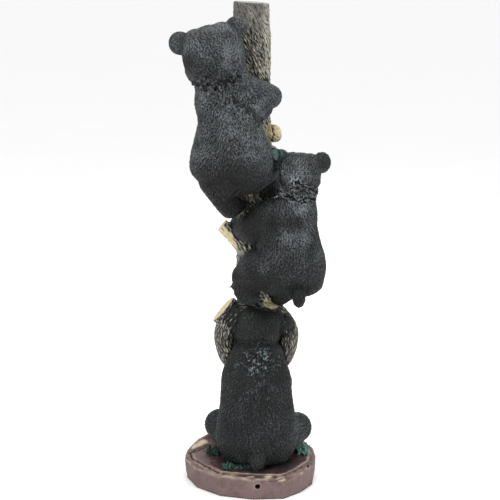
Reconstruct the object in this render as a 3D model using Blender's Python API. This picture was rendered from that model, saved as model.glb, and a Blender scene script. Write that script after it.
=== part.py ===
"""Three bear cubs on a tree trunk over a slab of rock: a garden statue cast in one piece.

Metres, +Z up, the origin at the middle of the flat underside. The cubs turn their backs to -Y, and the
trunk rises behind them. Rounded masses and limbs are laid over each other, fused into one skin, and
joined to the faceted slab.
"""

import math

import bmesh
import bpy
from mathutils import Matrix, Vector

# Trunk
STATUE_HEIGHT = 0.936
TRUNK_BACK = 0.045
TRUNK_FOOT_RADIUS = 0.040
TRUNK_TOP_RADIUS = 0.0338
TRUNK_TOP_ASIDE = 0.0017
TRUNK_FOOT_ASIDE = 0.0110
BEND_LEVELS = (0.47, 0.76)
ROOT_FLARE = 0.018
ROOT_FLARE_HEIGHT = 0.060
ROOT_COUNT = 6
TRUNK_TOP_TILT = math.radians(3.5)
BARK_RIDGE = 0.0016
BARK_RIDGE_COUNT = 9

# The trunk's round hollow, which the lower cub looks through
HOLLOW_RADIUS = 0.0828
HOLLOW_RIM = 0.0195
HOLLOW_DEPTH = 0.030
HOLLOW_LEVEL = 0.2785
HOLLOW_AHEAD = 0.011

# Cut branches: the level of each, its reach from the trunk's axis and its radius
BRANCH_AHEAD = 0.012
FOOT_BRANCH_LEVEL = 0.5025
FOOT_BRANCH_DROP = 0.056
FOOT_BRANCH_REACH = 0.067
FOOT_BRANCH_RADIUS = 0.0125
KNOB_LEVEL = 0.684
KNOB_REACH = 0.056
KNOB_RADIUS = 0.0165
HOLLOW_BRANCH_RADIUS = 0.0295
HOLLOW_BRANCH_REACH = 0.0885

# Leaf sprig under the knob: how far below it the stalk starts, and its radius at each end
SPRIG_DROP = 0.024
SPRIG_RADII = (0.011, 0.007)

# Slab of rock. Each corner of its outline: the angle from +X, and its shares of the radius and the thickness.
# Each row of its profile: the shares of the thickness and the radius.
SLAB_THICKNESS = 0.044
SLAB_RADIUS = 0.132
SLAB_OUTLINE = ((-178, 0.99, 1.02), (-150, 0.955, 1.06), (-119, 0.96, 1.06), (-88, 1.0, 1.10), (-63, 1.08, 1.06),
                (-44, 1.025, 1.08), (-20, 1.005, 1.12), (8, 1.0, 1.16), (34, 1.07, 1.16), (63, 1.0, 1.05),
                (92, 0.97, 1.02), (124, 1.12, 1.38), (152, 1.08, 1.24))
SLAB_PROFILE = ((0.0, 0.972), (0.30, 0.985), (0.88, 1.0), (1.0, 0.90))
DRAIN_RADIUS = 0.0048
DRAIN_DEPTH = 0.012
DRAIN_LEVEL = 0.0275
DRAIN_ASIDE = 0.013
VENT_RADIUS = 0.0026
VENT_MOUTH = (0.1145, -0.0700, 0.0460)
VENT_END = (0.1070, -0.0470, 0.0395)

# Cubs: each one's own height, and the level of its seat
TOP_CUB_HEIGHT = 0.37
TOP_CUB_LEVEL = 0.535
MIDDLE_CUB_HEIGHT = 0.30
MIDDLE_CUB_LEVEL = 0.37
LOWER_CUB_HEIGHT = 0.31

# Skin
GOLDEN_ANGLE = math.radians(137.5)
SIDES = 72
RING_STEP = 0.012
VOXEL = 0.0038
SMOOTH_TURNS = 3
KEPT_SHARE = 0.064
LIMB_STEP = 0.40
MASS_STEPS = 5
BALL_FINENESS = 2
BALL_SWELL = 1.035


def smooth_between(before, start, end, after, share):
    """A value between start and end on the smooth curve through all four."""
    return 0.5 * (2 * start + (end - before) * share
                  + (2 * before - 5 * start + 4 * end - after) * share ** 2
                  + (3 * start - before - 3 * end + after) * share ** 3)


class Clay:
    """Closed round shapes laid over each other in one mesh, before they are fused."""

    def __init__(self):
        self.mesh = bmesh.new()
        self.count = 0

    def ball(self, at, radii, turn=None):
        """A ball with a radius along each axis, turned about its own centre.

        Each ball's facets start at another angle, so that they even out where balls overlap.
        """
        self.count += 1
        spin = Matrix.Rotation(self.count * GOLDEN_ANGLE, 4, 'Z') @ Matrix.Rotation(self.count * 0.7, 4, 'X')
        stretch = Matrix.Diagonal((*radii, 1.0)) @ spin
        place = Matrix.Translation(at) @ (turn or Matrix()).to_4x4() @ stretch
        bmesh.ops.create_icosphere(self.mesh, subdivisions=BALL_FINENESS, radius=BALL_SWELL, matrix=place)

    def limb(self, stations):
        """A round limb through stations of (point, radius), as balls close enough to read as one."""
        for (start, start_radius), (end, end_radius) in zip(stations, stations[1:]):
            gap = (end - start).length
            count = max(1, math.ceil(gap / (LIMB_STEP * min(start_radius, end_radius))))
            for step in range(count + 1):
                share = step / count
                radius = start_radius + share * (end_radius - start_radius)
                self.ball(start.lerp(end, share), (radius, radius, radius))

    def mass(self, stations, count):
        """A body through stations of (x, y, z, three radii), its sizes running smoothly between them."""
        last = len(stations) - 1
        for step in range(count + 1):
            place = step / count * last
            i = min(int(place), last - 1)
            share = place - i
            before, start, end, after = (stations[max(0, min(last, i + k))] for k in (-1, 0, 1, 2))
            made = [smooth_between(*four, share) for four in zip(before, start, end, after)]
            self.ball(made[:3], made[3:])

    def peg(self, start, end, start_radius, end_radius):
        """A tapered round peg with flat ends, such as a sawn branch."""
        along = end - start
        turn = Vector((0, 0, 1)).rotation_difference(along).to_matrix().to_4x4()
        place = Matrix.Translation((start + end) / 2) @ turn
        bmesh.ops.create_cone(self.mesh, cap_ends=True, segments=24, radius1=start_radius,
                              radius2=end_radius, depth=along.length, matrix=place)

    def rings(self, rings):
        """A closed skin over rings of points, all of one count, with a flat cap at each end."""
        made = [[self.mesh.verts.new(point) for point in ring] for ring in rings]
        count = len(made[0])
        for low, high in zip(made, made[1:]):
            for i in range(count):
                j = (i + 1) % count
                self.mesh.faces.new((low[i], low[j], high[j], high[i]))
        self.mesh.faces.new(made[0][::-1])
        self.mesh.faces.new(made[-1])

    def object(self, name):
        """The shapes as a mesh object in the scene."""
        mesh = bpy.data.meshes.new(name)
        self.mesh.to_mesh(mesh)
        self.mesh.free()
        made = bpy.data.objects.new(name, mesh)
        bpy.context.scene.collection.objects.link(made)
        return made


class Cub:
    """A cub's own frame: hundredths of its height, from the trunk's axis at the level of its seat."""

    def __init__(self, clay, height, level):
        self.clay = clay
        self.unit = height / 100
        self.seat = Vector((0, TRUNK_BACK, level))

    def point(self, at):
        return self.seat + Vector(at) * self.unit

    def ball(self, at, radii, turn=None):
        self.clay.ball(self.point(at), [radius * self.unit for radius in radii], turn)

    def limb(self, *stations):
        self.clay.limb([(self.point(station[:3]), station[3] * self.unit) for station in stations])

    def mass(self, *stations):
        placed = [(*self.point(station[:3]), *(radius * self.unit for radius in station[3:]))
                  for station in stations]
        self.clay.mass(placed, MASS_STEPS * (len(stations) - 1))

    def paw(self, at, radius, ahead, toes=4):
        """A round paw with its toes in a fan, pointing along ahead."""
        self.ball(at, (radius, radius, radius * 0.9))
        ahead = Vector(ahead).normalized()
        side = ahead.cross(Vector((0, 0, 1)) if abs(ahead.z) < 0.8 else Vector((0, 1, 0))).normalized()
        for i in range(toes):
            fan = (i - (toes - 1) / 2) * 0.42
            reach = ahead * math.cos(fan) + side * math.sin(fan) * 1.4
            toe = 0.40 * radius
            self.ball(Vector(at) + reach * radius * 0.78, (toe, toe, toe))

    def head(self, at, size, roll=0.0, turn=0.0, nod=0.0, ear=(0.36, 0.17, 0.37), ears_at=(0.89, 0.62)):
        """A head looking along +Y: roll leans it to the right, turn and nod point the muzzle."""
        pose = (Matrix.Rotation(math.radians(turn), 3, 'Z') @ Matrix.Rotation(math.radians(nod), 3, 'X')
                @ Matrix.Rotation(math.radians(roll), 3, 'Y'))

        def local(x, y, z):
            return Vector(at) + pose @ Vector((x, y, z)) * size

        def lump(x, y, z, rx, ry, rz):
            self.ball(local(x, y, z), (rx * size, ry * size, rz * size), pose)

        lump(0, 0, 0, 0.97, 0.92, 0.97)
        lump(0, 0.50, 0.26, 0.66, 0.48, 0.44)
        lump(0, 1.42, -0.16, 0.19, 0.15, 0.14)
        self.limb((*local(0, 0.55, -0.14), 0.50 * size), (*local(0, 1.22, -0.27), 0.30 * size))
        self.limb((*local(0, 0.60, -0.38), 0.34 * size), (*local(0, 1.08, -0.46), 0.20 * size))
        for side in (-1, 1):
            lump(side * 0.40, -0.02, 0.37, 0.55, 0.66, 0.59)
            lump(side * 0.42, 0.18, -0.30, 0.54, 0.66, 0.54)
            lump(side * 0.32, 0.86, 0.16, 0.14, 0.12, 0.13)
            lump(side * ears_at[0], 0.02, ears_at[1], *ear)


def tuft_row(cub, centre, half_width, depth, drop, count, size):
    """A row of pointed locks across the nape, hanging in a shallow curve."""
    for i in range(count):
        share = 2 * i / (count - 1) - 1
        root = Vector(centre) + Vector((half_width * share, depth * share * share, drop * share * share))
        cub.limb((*root, size), (*(root + Vector((0.5 * share, -1.2, -2.6)) * size * 0.7), 0.35 * size))


def build_top_cub(clay):
    """The highest cub, climbing the trunk's left side, its right arm round the trunk."""
    cub = Cub(clay, TOP_CUB_HEIGHT, TOP_CUB_LEVEL)
    cub.mass((-7.5, -22, 18, 16, 12, 7), (-9.8, -23, 24, 20.8, 15, 8), (-9.8, -23.5, 31, 21.2, 15.5, 9),
             (-10.3, -23, 39, 18.8, 14.5, 9), (-11, -22, 49, 16, 13, 9), (-11.6, -21, 58, 17.0, 12.5, 8),
             (-13, -21, 66, 15.4, 12, 7), (-16.0, -22.5, 74, 14.0, 12.5, 7))
    cub.head((-18.7, -24, 82.4), 16.3, roll=-14.6, turn=8, ears_at=(0.90, 0.65))
    cub.limb((-3, -20, 63, 10.0), (6.3, -13, 61, 7.5), (10, -4, 60, 6.2), (6, 7, 60, 5.2))
    cub.limb((4.5, -13, 56, 7.0), (-2, -18, 54, 9.0))
    cub.paw((1, 12, 61), 5.2, (-1, 0.1, 0.2))
    cub.limb((-21, -18, 59, 7.6), (-21, -4, 56, 6.4), (-13, 6, 57, 5.4))
    cub.paw((-8, 10, 58), 5.2, (1, 0.2, 0.1))
    cub.limb((-17.0, -24, 20, 9.9), (-14.0, -20, 10.0, 6.8), (-10.8, -17, 4, 5.8))
    cub.paw((-9.5, -13, 4), 5.8, (0.2, 1, -0.15))
    cub.limb((1, -20, 23, 10.0), (9, -8, 23, 7.0), (10.2, -3, 12, 5.6))
    cub.paw((8, 2, 9), 5.4, (-0.8, 0.6, 0))
    cub.ball((-12, -34.5, 17.0), (4.8, 4.0, 6.4))
    tuft_row(cub, (-17, -33.5, 71), 11, 8, 2, 6, 2.4)


def build_middle_cub(clay):
    """The cub on the trunk's right side, its left arm and leg across the front of the trunk."""
    cub = Cub(clay, MIDDLE_CUB_HEIGHT, MIDDLE_CUB_LEVEL)
    cub.mass((25.6, -24, 10.5, 20.8, 14, 9), (25.5, -25, 20, 22.8, 17.5, 9), (25.3, -25.5, 28, 22.4, 18, 9),
             (24.3, -25, 38, 20.4, 16.5, 9), (23.5, -25, 48, 19, 15.5, 9), (23.8, -25, 57, 18.6, 14.5, 8),
             (28.6, -25, 65, 12.8, 12, 6), (30.6, -25, 72, 11.8, 11.5, 6))
    cub.head((31.3, -25, 82.5), 13.6, roll=3.4, turn=-6, ear=(0.44, 0.24, 0.50), ears_at=(0.96, 0.57))
    cub.limb((12, -25, 53, 12.5), (3.5, -21, 46, 11.0), (-5, -10, 44, 6.8), (-9, 0, 44, 5.4))
    cub.paw((-8, 8, 45), 5.2, (0.8, 0.6, 0.1))
    cub.limb((32, -22, 55, 9.5), (35, -8, 48, 7.6), (27, 6, 45, 6.2), (17, 13, 45, 5.4))
    cub.paw((11, 14, 46), 5.4, (-1, -0.1, 0.2))
    cub.limb((7, -25, 21, 14.2), (-2.4, -19, 14, 9.8), (-3.2, -17, 5, 8.0), (-0.5, -19, 1, 5.8))
    cub.paw((-4, -13, 7), 7.0, (-0.5, 0.8, -0.2))
    cub.limb((30, -18, 20, 14.0), (30, -4, 12, 9.0), (24, -6, 3, 7.4), (19, -8, -1, 6.4))
    cub.paw((14, 0, -3), 6.0, (-0.9, 0.3, 0))
    cub.ball((30.5, -39.5, 5.0), (4.2, 3.8, 6.6))
    tuft_row(cub, (30, -35.0, 72), 9, 6, -1, 5, 2.3)


def build_lower_cub(clay):
    """The seated cub, its head in the trunk's round hollow and its arms round the trunk below it."""
    cub = Cub(clay, LOWER_CUB_HEIGHT, SLAB_THICKNESS)
    middle = 4.8
    cub.mass((3.8, -26, 6, 22.5, 18, 7), (3.8, -27, 16, 25.8, 20.5, 9), (3.8, -26, 26, 25.2, 20.5, 9),
             (3.7, -25, 37, 23.4, 18.5, 9), (3.4, -24, 48, 22.4, 17, 9), (3.3, -22, 57, 21.6, 15, 7),
             (3.4, -20, 64, 18.8, 13.5, 6), (4, -18, 72, 15.5, 13, 6))
    cub.head((4.6, -11, 83), 15.4, roll=10.9, ear=(0.34, 0.20, 0.44), ears_at=(1.04, 0.39))
    for side in (-1, 1):
        cub.limb((middle + side * 14.5, -19, 52, 6.6), (middle + side * 15.4, -6, 46, 6.2),
                 (middle + side * 12, 9, 47, 5.6))
        cub.paw((middle + side * 8, 13, 49), 5.6, (-side, 0.15, 0.3))
        cub.limb((middle + side * 12, -22, 14, 12.0), (middle + side * 24.6, -9, 18.5 - side, 9.8),
                 (middle + side * 21, 8, 13, 8.0), (middle + side * 17, 16, 5, 6.2))
        cub.paw((middle + side * 16, 19, 4.5), 6.6, (side * 0.15, 1, -0.1))
    cub.limb((4, -40, 10, 7.0), (4, -45.5, 5, 4.6), (4, -46.5, 1.5, 3.0))
    tuft_row(cub, (4.5, -34.0, 63), 12, 6, 2, 7, 2.5)


def trunk_aside(level):
    """How far the trunk's axis stands to the right: it bends back to the middle higher up."""
    low, high = BEND_LEVELS
    share = min(1.0, max(0.0, (level - low) / (high - low)))
    eased = share * share * (3 - 2 * share)
    return TRUNK_FOOT_ASIDE + eased * (TRUNK_TOP_ASIDE - TRUNK_FOOT_ASIDE)


def trunk_ring(level, radius, flare):
    """One ring of the trunk's skin: bark ridges that wander, and roots that spread where it flares."""
    points = []
    for i in range(SIDES):
        angle = 2 * math.pi * i / SIDES
        wander = 0.5 * math.sin(23 * level + 1.3) + 0.3 * math.sin(61 * level)
        ridge = BARK_RIDGE * math.sin(BARK_RIDGE_COUNT * (angle + 0.35 * wander))
        root = flare * (0.55 + 0.45 * math.cos(ROOT_COUNT * angle + 0.8))
        reach = radius + ridge + root
        points.append((trunk_aside(level) + reach * math.cos(angle),
                       TRUNK_BACK + reach * math.sin(angle), level))
    return points


def trunk_length(clay, low, high):
    """The trunk's skin between two levels."""
    count = max(2, round((high - low) / RING_STEP))
    rings = []
    for i in range(count + 1):
        level = low + (high - low) * i / count
        share = level / STATUE_HEIGHT
        radius = TRUNK_FOOT_RADIUS + share * (TRUNK_TOP_RADIUS - TRUNK_FOOT_RADIUS)
        above = max(0.0, level - SLAB_THICKNESS)
        rings.append(trunk_ring(level, radius, ROOT_FLARE * math.exp(-2 * above / ROOT_FLARE_HEIGHT)))
    clay.rings(rings)


def build_trunk(clay):
    """The trunk from inside the slab to above its sawn top, with its hollow and cut branches."""
    centre = Vector((trunk_aside(HOLLOW_LEVEL), TRUNK_BACK - HOLLOW_AHEAD, HOLLOW_LEVEL))
    middle = HOLLOW_RADIUS - HOLLOW_RIM
    trunk_length(clay, SLAB_THICKNESS / 2, HOLLOW_LEVEL - middle)
    trunk_length(clay, HOLLOW_LEVEL + middle, STATUE_HEIGHT + RING_STEP)

    turns = 48
    for i in range(turns):
        angle = 2 * math.pi * i / turns
        out = Vector((math.cos(angle), 0, math.sin(angle)))
        thick = 1 + 0.25 * abs(math.sin(angle)) ** 3
        clay.ball(centre + out * middle, (HOLLOW_RIM, HOLLOW_DEPTH * thick, HOLLOW_RIM))

    up_left = Vector((-0.748, 0, 0.663))
    clay.peg(centre + up_left * middle * 0.6, centre + up_left * HOLLOW_BRANCH_REACH,
             HOLLOW_BRANCH_RADIUS * 1.1, HOLLOW_BRANCH_RADIUS)

    axis = Vector((trunk_aside(FOOT_BRANCH_LEVEL), TRUNK_BACK - BRANCH_AHEAD, FOOT_BRANCH_LEVEL))
    root = axis + Vector((0.004, 0, -FOOT_BRANCH_DROP))
    tip = axis + Vector((-FOOT_BRANCH_REACH, -0.004, 0.004))
    clay.limb([(root.lerp(tip, share), FOOT_BRANCH_RADIUS * swell)
               for share, swell in ((0, 2.0), (0.45, 1.56), (0.75, 1.16))])
    clay.peg(root.lerp(tip, 0.6), tip, FOOT_BRANCH_RADIUS * 1.25, FOOT_BRANCH_RADIUS)

    axis = Vector((trunk_aside(KNOB_LEVEL), TRUNK_BACK - BRANCH_AHEAD, KNOB_LEVEL))
    knob = axis + Vector((KNOB_REACH - KNOB_RADIUS, 0, 0.002))
    clay.ball(knob, (KNOB_RADIUS, KNOB_RADIUS * 0.9, KNOB_RADIUS))
    clay.limb([(axis + Vector((0.012, 0.005, 0.006)), KNOB_RADIUS * 1.3), (knob, KNOB_RADIUS * 0.8)])
    thick, thin = SPRIG_RADII
    sprig = axis + Vector((0.022, 0.004, -SPRIG_DROP))
    clay.limb([(sprig, thick), (sprig + Vector((0.030, -0.010, -0.014)), thin)])


def build_slab():
    """The rock: an irregular outline raised through a profile that leans out, with a chipped rim."""
    clay = Clay()
    rings = []
    for lift, spread in SLAB_PROFILE:
        ring = []
        for i, (angle, share, rise) in enumerate(SLAB_OUTLINE):
            chip = 0.0 if lift in (0.0, 1.0) else 0.05 * math.sin(2.4 * i + 9 * lift)
            reach = SLAB_RADIUS * share * spread * (1 + 0.25 * chip)
            height = SLAB_THICKNESS * lift * rise * (1 + chip)
            turn = math.radians(angle)
            ring.append((reach * math.cos(turn), reach * math.sin(turn), height))
        rings.append(ring)
    clay.rings(rings)
    bmesh.ops.triangulate(clay.mesh, faces=clay.mesh.faces[:])
    return clay.object("rock_slab")


def cutter(name, start, end, radius):
    """A round drill from start to end, left out of the part itself."""
    clay = Clay()
    clay.peg(Vector(start), Vector(end), radius, radius)
    return hidden(clay.object(name))


def hidden(made):
    made.hide_render = True
    made.display_type = 'WIRE'
    return made


def saw():
    """A block whose underside is the trunk's slightly tilted sawn top."""
    clay = Clay()
    size = 0.2
    tilt = Matrix.Rotation(TRUNK_TOP_TILT, 4, 'Y')
    place = Matrix.Translation((0, TRUNK_BACK, STATUE_HEIGHT)) @ tilt @ Matrix.Translation((0, 0, size / 2))
    bmesh.ops.create_cube(clay.mesh, size=size, matrix=place)
    return hidden(clay.object("trunk_top_saw"))


def add_boolean(made, name, operation, other):
    step = made.modifiers.new(name, 'BOOLEAN')
    step.operation = operation
    step.solver = 'EXACT'
    step.object = other


def painted_resin():
    """The dark painted resin that most of the statue shows."""
    material = bpy.data.materials.new("painted_resin")
    material.use_nodes = True
    shader = material.node_tree.nodes["Principled BSDF"]
    shader.inputs["Base Color"].default_value = (0.035, 0.038, 0.042, 1)
    shader.inputs["Roughness"].default_value = 0.6
    shader.inputs["Metallic"].default_value = 0.0
    return material


def main():
    for old in list(bpy.data.objects):
        bpy.data.objects.remove(old, do_unlink=True)

    clay = Clay()
    build_trunk(clay)
    build_lower_cub(clay)
    build_middle_cub(clay)
    build_top_cub(clay)
    statue = clay.object("bear_tree_casting")
    for face in statue.data.polygons:
        face.use_smooth = True
    statue.data.materials.append(painted_resin())

    fuse = statue.modifiers.new("fuse", 'REMESH')
    fuse.mode = 'VOXEL'
    fuse.voxel_size = VOXEL
    fuse.use_smooth_shade = True
    soften = statue.modifiers.new("soften", 'SMOOTH')
    soften.factor = 0.5
    soften.iterations = SMOOTH_TURNS
    thin = statue.modifiers.new("thin", 'DECIMATE')
    thin.ratio = KEPT_SHARE

    front = -SLAB_RADIUS * 1.2
    add_boolean(statue, "top", 'DIFFERENCE', saw())
    add_boolean(statue, "slab", 'UNION', hidden(build_slab()))
    add_boolean(statue, "drain", 'DIFFERENCE',
                cutter("drain_drill", (DRAIN_ASIDE, front, DRAIN_LEVEL),
                       (DRAIN_ASIDE, -SLAB_RADIUS * 0.96 + DRAIN_DEPTH, DRAIN_LEVEL), DRAIN_RADIUS))
    add_boolean(statue, "vent", 'DIFFERENCE',
                cutter("vent_drill", VENT_MOUTH, VENT_END, VENT_RADIUS))


main()
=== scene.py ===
"""Three bear cubs on a tree trunk over a slab of rock: the painted statue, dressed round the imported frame.

Metres, +Z up. The camera looks along +Y at the cubs' backs. Each cub is laid up from round masses and
limbs, fused into one skin, combed with hair strokes and dry-brushed. The trunk, the rock, the leaves and the
face parts are made in the same frame.
"""

import logging
import math
from collections.abc import Sequence
from dataclasses import dataclass, field
from enum import Enum

import bpy
import numpy as np
from mathutils import Matrix, Vector
from mathutils.bvhtree import BVHTree
from mathutils.kdtree import KDTree


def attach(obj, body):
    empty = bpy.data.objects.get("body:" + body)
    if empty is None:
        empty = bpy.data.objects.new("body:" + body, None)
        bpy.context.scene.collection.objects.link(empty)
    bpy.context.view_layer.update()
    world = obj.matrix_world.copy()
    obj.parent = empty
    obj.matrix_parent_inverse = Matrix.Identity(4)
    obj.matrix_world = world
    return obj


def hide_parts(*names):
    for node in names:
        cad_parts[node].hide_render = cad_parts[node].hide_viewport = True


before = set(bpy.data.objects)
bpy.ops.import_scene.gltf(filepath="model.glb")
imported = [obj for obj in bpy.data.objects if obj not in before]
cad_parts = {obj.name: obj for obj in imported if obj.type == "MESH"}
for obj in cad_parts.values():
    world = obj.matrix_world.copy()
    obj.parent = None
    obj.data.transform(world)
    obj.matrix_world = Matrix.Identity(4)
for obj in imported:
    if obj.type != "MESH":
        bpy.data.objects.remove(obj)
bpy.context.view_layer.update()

log = logging.getLogger("statue")

BODY = "root"
CASTING = "bear_tree_casting"

# Sizes shared with the casting
STATUE_HEIGHT = 0.936
TRUNK_BACK = 0.045
SLAB_THICKNESS = 0.044

# How far each ball is spun past the last, and the most triangles that a piece has
GOLDEN_ANGLE = math.radians(137.5)
MOST_TRIANGLES = 198000

Pair = tuple[float, float]
Triple = tuple[float, float, float]


class Slot(Enum):
    """The record's material slots."""

    COAT = "painted_resin"
    BARK = "bark_paint"
    ROCK = "rock_paint"
    LEAF = "leaf_paint"
    FACE = "face_paint"


# Bench: selecting, modifiers and mesh arrays


def deselect_all() -> None:
    """Leaves nothing selected and nothing active."""
    bpy.ops.object.select_all(action='DESELECT')
    bpy.context.view_layer.objects.active = None


def hold(piece: bpy.types.Object) -> None:
    """Selects one object alone and makes it active."""
    deselect_all()
    piece.select_set(True)
    bpy.context.view_layer.objects.active = piece


def settle(piece: bpy.types.Object) -> None:
    """Applies an object's place, turn and size to its mesh."""
    hold(piece)
    bpy.ops.object.transform_apply(location=True, rotation=True, scale=True)


def finish_with(piece: bpy.types.Object, kind: str, **settings: object) -> None:
    """Adds a modifier and applies it.

    Args:
        piece: The mesh object.
        kind: Blender's name for the kind of modifier.
        settings: The modifier's values by name.
    """
    hold(piece)
    modifier = piece.modifiers.new(kind.lower(), kind)
    for name, value in settings.items():
        setattr(modifier, name, value)
    bpy.ops.object.modifier_apply(modifier=modifier.name)


def join(pieces: Sequence[bpy.types.Object], name: str) -> bpy.types.Object:
    """Joins mesh objects into one.

    Args:
        pieces: The objects, which become one.
        name: The name of the joined piece.

    Returns:
        The joined object.
    """
    deselect_all()
    for piece in pieces:
        piece.select_set(True)
    bpy.context.view_layer.objects.active = pieces[0]
    if len(pieces) > 1:
        bpy.ops.object.join()
    joined = bpy.context.view_layer.objects.active
    joined.name = name
    joined.data.name = name
    return joined


def new_primitive(name: str) -> bpy.types.Object:
    """Names the primitive that an operator has just added."""
    piece = bpy.context.view_layer.objects.active
    piece.name = name
    piece.data.name = name
    return piece


def copy_of(first: bpy.types.Object, name: str, place: Matrix) -> bpy.types.Object:
    """Copies a modelled shape to its place, with its own mesh."""
    mesh = first.data.copy()
    mesh.transform(place)
    piece = bpy.data.objects.new(name, mesh)
    bpy.context.scene.collection.objects.link(piece)
    return piece


def upright_to(way: Vector) -> Matrix:
    """The turn that points what stands on Z along a direction."""
    return Vector((0, 0, 1)).rotation_difference(way).to_matrix().to_4x4()


def cut_lengthwise(piece: bpy.types.Object, cuts: int) -> None:
    """Cuts a shaft that stands from 0 to 1 on Z across its length.

    Args:
        piece: The shaft, whose only long edges run up it.
        cuts: How many rings of points the cuts leave between its ends.
    """
    hold(piece)
    bpy.context.tool_settings.mesh_select_mode = (False, True, False)
    bpy.ops.object.mode_set(mode='EDIT')
    bpy.ops.mesh.select_all(action='DESELECT')
    bpy.ops.object.mode_set(mode='OBJECT')
    for edge in piece.data.edges:
        low, high = (piece.data.vertices[i].co.z for i in edge.vertices)
        edge.select = abs(low - high) > 0.5
    bpy.ops.object.mode_set(mode='EDIT')
    bpy.ops.mesh.subdivide(number_cuts=cuts)
    bpy.ops.object.mode_set(mode='OBJECT')


def tapered_shaft(name: str, sides: int, wide: float, narrow: float, cuts: int) -> bpy.types.Object:
    """Models a shaft that tapers from 0 to 1 on Z, cut across its length."""
    deselect_all()
    bpy.ops.mesh.primitive_cone_add(vertices=sides, radius1=wide, radius2=narrow, depth=1.0,
                                    location=(0, 0, 0.5))
    shaft = new_primitive(name)
    settle(shaft)
    cut_lengthwise(shaft, cuts)
    return shaft


def points_of(piece: bpy.types.Object) -> np.ndarray:
    """The piece's points, one row each."""
    flat = np.empty(len(piece.data.vertices) * 3)
    piece.data.vertices.foreach_get("co", flat)
    return flat.reshape(-1, 3)


def place_points(piece: bpy.types.Object, points: np.ndarray) -> None:
    """Moves the piece's points."""
    piece.data.vertices.foreach_set("co", points.ravel())
    piece.data.update()


def normals_of(piece: bpy.types.Object) -> np.ndarray:
    """The outward direction at each point."""
    flat = np.empty(len(piece.data.vertices) * 3, dtype=np.float32)
    piece.data.vertex_normals.foreach_get("vector", flat)
    return flat.reshape(-1, 3).astype(float)


def paint_mask(piece: bpy.types.Object, name: str, values: np.ndarray) -> None:
    """Keeps one value a point on the mesh, for a material to read."""
    layer = piece.data.attributes.get(name) or piece.data.attributes.new(name, 'FLOAT', 'POINT')
    layer.data.foreach_set("value", values.astype(np.float32))


def triangles_of(piece: bpy.types.Object) -> int:
    """How many triangles the piece has."""
    return sum(len(polygon.vertices) - 2 for polygon in piece.data.polygons)


def thin(piece: bpy.types.Object, most: int) -> None:
    """Takes the least needed points out of a piece that has too many triangles.

    Args:
        piece: The mesh object.
        most: The most triangles it may have.
    """
    triangles = triangles_of(piece)
    if triangles > most:
        finish_with(piece, 'DECIMATE', ratio=most / triangles)


def spread(piece: bpy.types.Object, values: np.ndarray, rounds: int) -> np.ndarray:
    """Evens out values over neighbouring points.

    Args:
        piece: The mesh whose edges say which points are neighbours.
        values: One row a point.
        rounds: How many times each point takes its neighbours' mean.

    Returns:
        The evened values.
    """
    ends = np.empty(len(piece.data.edges) * 2, dtype=np.int64)
    piece.data.edges.foreach_get("vertices", ends)
    first, second = ends.reshape(-1, 2).T
    count = len(piece.data.vertices)
    near = np.bincount(first, minlength=count) + np.bincount(second, minlength=count)
    near = np.maximum(near, 1)
    columns = np.atleast_2d(values.T).T.astype(float).copy()
    for _ in range(rounds):
        for column in columns.T:
            total = np.bincount(first, weights=column[second], minlength=count)
            total += np.bincount(second, weights=column[first], minlength=count)
            column += 0.5 * (total / near - column)
    return columns.reshape(values.shape)


def convexity(piece: bpy.types.Object, rounds: int, scale: float) -> np.ndarray:
    """How far each point stands out from its neighbourhood: 1 on an edge, -1 in a hollow.

    Args:
        piece: The mesh.
        rounds: How wide a neighbourhood is.
        scale: The height in metres that counts as 1.

    Returns:
        One value a point.
    """
    points = points_of(piece)
    lift = ((points - spread(piece, points, rounds)) * normals_of(piece)).sum(axis=1)
    return np.clip(lift / scale, -1.0, 1.0)


# Noise that gives the same value each run


def cell_value(cells: np.ndarray, seed: int) -> np.ndarray:
    """A settled value between 0 and 1 for each whole-numbered cell."""
    x, y, z = cells.astype(np.int64).T
    mixed = (x * 73856093) ^ (y * 19349663) ^ (z * 83492791) ^ (seed * 40503 + 977)
    mixed &= 0x7FFFFFFF
    mixed = (mixed ^ (mixed >> 13)) * 1274126177 & 0x7FFFFFFF
    mixed = (mixed ^ (mixed >> 15)) * 668265263 & 0x7FFFFFFF
    mixed ^= mixed >> 12
    return (mixed & 0xFFFFF) / 0xFFFFF


def noise(points: np.ndarray, cell: float, seed: int) -> np.ndarray:
    """Smooth noise between -1 and 1.

    Args:
        points: Where it is read.
        cell: The distance between its values, in metres.
        seed: Which noise.

    Returns:
        One value a point.
    """
    place = points / cell
    low = np.floor(place)
    share = place - low
    share = share * share * (3 - 2 * share)
    total = np.zeros(len(points))
    for corner in range(8):
        step = np.array([corner & 1, corner >> 1 & 1, corner >> 2 & 1])
        weight = np.prod(np.where(step, share, 1 - share), axis=1)
        total += weight * cell_value(low + step, seed)
    return 2 * total - 1


def strokes(points: np.ndarray, flow: np.ndarray, cell: float, reach: float, seed: int) -> np.ndarray:
    """Noise drawn out along a flow, as hair or bark is, with a mean of 0 and a spread of 1.

    Args:
        points: Where it is read.
        flow: The direction of the strokes at each point.
        cell: The width of a stroke, in metres.
        reach: Half the length of a stroke, in metres.
        seed: Which noise.

    Returns:
        One value a point.
    """
    steps = max(3, int(2 * reach / (0.7 * cell)))
    total = np.zeros(len(points))
    for step in np.linspace(-1, 1, steps):
        total += (1 - 0.6 * abs(step)) * noise(points + flow * (reach * step), cell, seed)
    return (total - total.mean()) / max(total.std(), 1e-9)


def eased(values: np.ndarray, low: float, high: float) -> np.ndarray:
    """0 below low, 1 above high, and smooth between."""
    share = np.clip((values - low) / (high - low), 0.0, 1.0)
    return share * share * (3 - 2 * share)


def band(gap: np.ndarray, width: float, power: int = 2) -> np.ndarray:
    """1 on a line and 0 well away from it, by the gap to it."""
    return np.exp(-(gap / width) ** power)


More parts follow.
